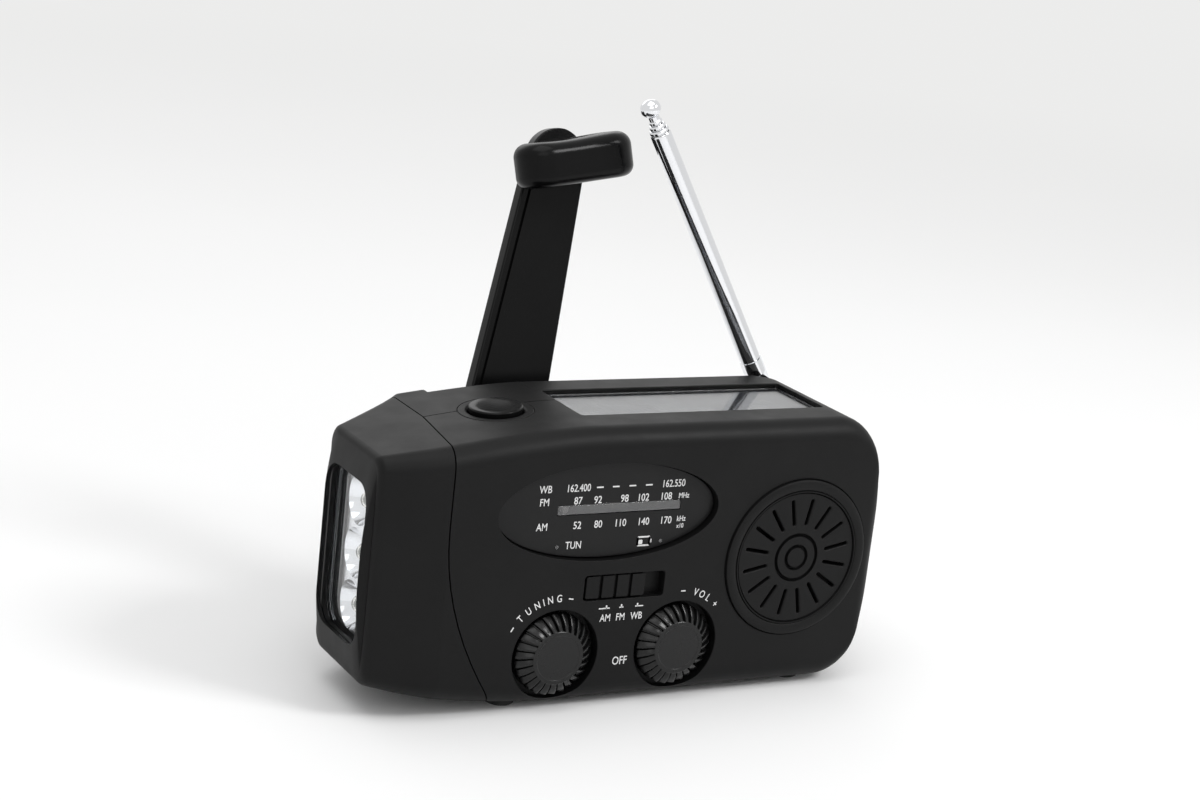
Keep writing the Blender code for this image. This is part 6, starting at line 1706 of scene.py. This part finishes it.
def flat_pieces():
    """Dial plate, window strip, solar panel and port cover, with eased edges."""
    near, far = DIAL_RECESS, DIAL_RECESS + DIAL_THICKNESS
    plate = soft_prism(lambda m: dial_ellipse(m - FIT_GAP), "Y", near, far, FINE_LIP)
    plate = combined(plate, cutting([prism(bar_outline(0, FIT_GAP), "Y", -OVERRUN, OVERRUN)]))
    piece("dial_face", plate, DIAL, "case", stands_for=["dial_plate"])

    def strip_at(margin):
        return bar_outline(margin - FIT_GAP / 2, FIT_GAP + margin)

    strip = soft_prism(strip_at, "Y", near, near + DIAL_THICKNESS / 2, FINE_LIP)
    piece("dial_strip", strip, STRIP, "case", stands_for=["dial_window"])
    low = solar_floor() + FIT_GAP
    for name, node, thickness, material, slot in (
        ("solar_cells_board", "solar_panel", SOLAR_BOARD, SOLAR, "solar_cell"),
        ("solar_window", "solar_face", SOLAR_GLASS, PANEL_CLEAR, "solar_face"),
    ):
        sheet = soft_prism(lambda m: solar_outline(m - FIT_GAP), "Z", low, low + thickness, FINE_LIP)
        piece(name, sheet, material, "case", stands_for=[node])
        low += thickness + FIT_GAP

    grow = PORT_LEDGE - FIT_GAP
    tab_place = ((PORT_LEFT + PORT_RIGHT) / 2, PORT_TOP + grow - TAB_DROP)
    width, height = TAB_HALF

    def tab_at(margin):
        return around(tab_place, width + margin, height + margin, TAB_RADIUS + margin, 3)

    back = BODY_DEPTH
    cover = soft_prism(lambda m: port_outline(grow + m), "Y", back - COVER_THICKNESS, back, COVER_LIP)
    tab = soft_prism(tab_at, "Y", back - COVER_LIP, back + TAB_PROUD, TAB_LIP)
    cover = combined(cover, [("UNION", tab)])
    piece("rubber_cover", cover, RUBBER, "cover", stands_for=["port_cover"])


def kept_nodes():
    """The nodes that keep their CAD form, with their finishes."""
    for material, names in (
        (BOARD, "led_board main_board"),
        (POINTER, "tuning_pointer"),
        (NYLON, "drive_wheel idler_gear"),
        (STEEL, "generator_pinion generator gearbox_plate volume_pot volume_shaft crank_shaft"),
        (STEEL, "hinge_pin antenna_pin usb_socket micro_usb_socket band_switch speaker_frame"),
        (PAPER, "speaker_cone"),
        (WRAP, "battery"),
        (FERRITE, "ferrite_rod"),
        (PART_BLACK, "tuning_capacitor tuning_shaft torch_switch"),
    ):
        for name in names.split():
            materials = frame["nodes"][name].data.materials
            materials.clear()
            materials.append(material)


# Printing


def print_place(x, z, y, turn):
    """Where print lies on a front surface at Y, turned round Y."""
    return at(x, y - PRINT_THICKNESS - PRINT_LIFT, z) @ Matrix.Rotation(turn, 4, "Y")


def printed(text, x, z, size, squeeze, y, turn=0.0):
    """A word or number printed on the front, centred on a place, read from the front."""
    curve = bpy.data.curves.new("word", "FONT")
    curve.body = text
    curve.align_x = "CENTER"
    curve.align_y = "CENTER"
    curve.size = size
    curve.extrude = PRINT_THICKNESS
    curve.offset = PRINT_SPREAD
    curve.resolution_u = 4
    holder = placed("word", curve)
    bpy.context.view_layer.update()
    graph = bpy.context.evaluated_depsgraph_get()
    mesh = bpy.data.meshes.new_from_object(holder.evaluated_get(graph))
    bpy.data.objects.remove(holder)
    bpy.data.curves.remove(curve)
    place = print_place(x, z, y, turn) @ Matrix.Rotation(math.pi / 2, 4, "X")
    mesh.transform(place @ Matrix.Diagonal((squeeze, 1, 1, 1)))
    return mesh


def bar_print(x, z, width, height, y, turn=0.0):
    """A printed bar with round corners."""
    outline = around((0, 0), width / 2, height / 2, height / 5, 2)
    solid = prism(outline, "Y", -PRINT_THICKNESS, PRINT_THICKNESS)
    solid.transform(print_place(x, z, y, turn))
    return as_mesh(solid)


def joined(name, meshes):
    """Several prints as one piece."""
    whole = bmesh.new()
    for mesh in meshes:
        whole.from_mesh(mesh)
        bpy.data.meshes.remove(mesh)
    piece(name, whole, PRINT, "case", flat=False)


def dial_print():
    """The dial's words, scales, dashes and battery sign, and its two small lights."""
    y = DIAL_RECESS
    words = [printed(*row, y) for row in DIAL_TEXT]
    for scale, z in ((FM_SCALE, FM_ROW_Z), (AM_SCALE, AM_ROW_Z)):
        words += [printed(text, x, z, DIAL_WORDS, SCALE_SHARE, y) for text, x in scale]
    words += [bar_print(x, BAND_ROW_Z, *BAND_DASH, y) for x in BAND_DASHES]
    words += battery_sign(BATTERY_X, LOW_ROW_Z, y)
    joined("dial_print", words)
    for name, x in LIGHTS:
        place = (x, LOW_ROW_Z - LIGHT_DROP)
        dot = rod("Y", place, LIGHT_RADIUS, y - LIGHT_PROUD, y + LIGHT_SUNK, SMALL_STEPS)
        piece(name, dot, STRIP, "case", flat=False)


def battery_sign(x, z, y):
    """A plain battery outline with its terminal and a part charge."""
    (width, height), line = BATTERY_SIZE, BATTERY_LINE
    return [
        bar_print(x, z + height / 2, width, line, y),
        bar_print(x, z - height / 2, width, line, y),
        bar_print(x - width / 2, z, line, height, y),
        bar_print(x + width / 2, z, line, height, y),
        bar_print(x + width / 2 + line, z, line, height / 2, y),
        bar_print(x - width / 4, z - line / 2, width / 3, height / 2, y),
    ]


def front_print():
    """The words round the knobs and at the band switch, with its ticks."""
    words = []
    for centre_x, radius, letters in KNOB_WORDS:
        for text, degrees in letters:
            turn = math.radians(degrees)
            x = centre_x + radius * math.sin(turn)
            z = TUNING_Z + radius * math.cos(turn)
            if text == "-":
                words.append(bar_print(x, z, *KNOB_DASH, 0, turn))
            else:
                words.append(printed(text, x, z, FRONT_WORDS, NARROW_SHARE, 0, turn))
    for text, x in SWITCH_WORDS:
        words.append(printed(text, x, SWITCH_ROW_Z, FRONT_WORDS, NARROW_SHARE, 0))
        words.append(bar_print(x, TICK_Z + TICK_RISE, *TICK_SIZE, 0))
    words += [bar_print(x, TICK_Z, width, SWITCH_LINE, 0) for x, width in SWITCH_LINES]
    words.append(printed("OFF", *OFF_PLACE, OFF_WORD, 0.80, 0))
    joined("front_print", words)


# Studio


def seen_directly(tree):
    """1 for what the camera, a reflection or a clear piece sees, and 0 for what lights the object."""
    path = tree.nodes.new("ShaderNodeLightPath")
    total = path.outputs["Is Camera Ray"]
    for kind in ("Is Glossy Ray", "Is Transmission Ray"):
        total = maths(tree, "MAXIMUM", total, path.outputs[kind])
    return total


def blended(tree, share, first, second, output):
    """A surface or world that goes from one shader to another by a share."""
    mix = tree.nodes.new("ShaderNodeMixShader")
    tree.links.new(share, mix.inputs["Fac"])
    tree.links.new(first, mix.inputs[1])
    tree.links.new(second, mix.inputs[2])
    tree.links.new(mix.outputs["Shader"], tree.nodes[output].inputs["Surface"])


def floor_sheet():
    """A pale floor that fades to the backdrop's tone towards its edges."""
    finish, tree, principled = shader("paper_floor", (0.88, 0.88, 0.88), 0.9, 0.0, 0.1)
    tone = ramp(tree, noise(tree, 3, 2), [(0.4, 0.875), (0.6, 0.885)])
    tree.links.new(tone, principled.inputs["Base Color"])
    away = tree.nodes.new("ShaderNodeVectorMath")
    away.operation = "LENGTH"
    place = tree.nodes.new("ShaderNodeTexCoord")
    tree.links.new(place.outputs["Object"], away.inputs[0])
    fade = tree.nodes.new("ShaderNodeMapRange")
    fade.interpolation_type = "SMOOTHSTEP"
    fade.inputs["From Min"].default_value, fade.inputs["From Max"].default_value = FLOOR_FADE
    tree.links.new(away.outputs["Value"], fade.inputs["Value"])
    share = maths(tree, "MULTIPLY", fade.outputs["Result"], seen_directly(tree))
    far = tree.nodes.new("ShaderNodeEmission")
    far.inputs["Color"].default_value = (*BACKDROP, 1)
    blended(tree, share, principled.outputs["BSDF"], far.outputs["Emission"], "Material Output")
    solid = bmesh.new()
    corners = ((-1, -1), (1, -1), (1, 1), (-1, 1))
    solid.faces.new([solid.verts.new((x * FLOOR_REACH, y * FLOOR_REACH, 0)) for x, y in corners])
    mesh = as_mesh(solid)
    mesh.materials.append(finish)
    placed("paper_floor", mesh)


def surround():
    """A pale surround, seen in the backdrop's tone."""
    world = bpy.data.worlds.new("studio")
    bpy.context.scene.world = world
    world.use_nodes = True
    tree = world.node_tree
    light = tree.nodes["Background"]
    light.inputs["Color"].default_value = (1, 1, 1, 1)
    light.inputs["Strength"].default_value = WORLD_LIGHT
    seen = tree.nodes.new("ShaderNodeBackground")
    seen.inputs["Color"].default_value = (*BACKDROP, 1)
    shaders = (light.outputs["Background"], seen.outputs["Background"])
    blended(tree, seen_directly(tree), *shaders, "World Output")


def lamps():
    """Soft lamps from above, the front and behind."""
    for name, place, size, power in LAMPS:
        lamp = bpy.data.lights.new(name, "AREA")
        lamp.shape = "RECTANGLE"
        lamp.size, lamp.size_y = size
        lamp.energy = power
        item = placed(name, lamp)
        item.location = place
        item.rotation_euler = (LAMP_AIM - Vector(place)).to_track_quat("-Z", "Y").to_euler()


def camera():
    """The photograph's viewpoint."""
    data = bpy.data.cameras.new("camera")
    data.lens = CAMERA_LENS
    data.sensor_width = 36.0
    data.clip_start = 0.01
    item = placed("camera", data)
    right = Vector(CAMERA_RIGHT).normalized()
    up = Vector(CAMERA_UP)
    up = (up - right * up.dot(right)).normalized()
    turn = Matrix((right, up, right.cross(up))).transposed().to_4x4()
    item.matrix_world = Matrix.Translation(Vector(CAMERA_PLACE) + OFFSET) @ turn
    bpy.context.scene.camera = item


def main():
    case_pieces()
    torch()
    knob("tuning_dial_knob", "tuning_knob", "tuning", 0)
    knob("volume_dial_knob", "volume_knob", "volume", VOLUME_X)
    band_slider()
    torch_button()
    crank()
    antenna()
    screws()
    feet()
    flat_pieces()
    kept_nodes()
    dial_print()
    front_print()
    floor_sheet()
    surround()
    lamps()
    camera()
    bpy.context.scene.view_settings.view_transform = "Standard"


main()
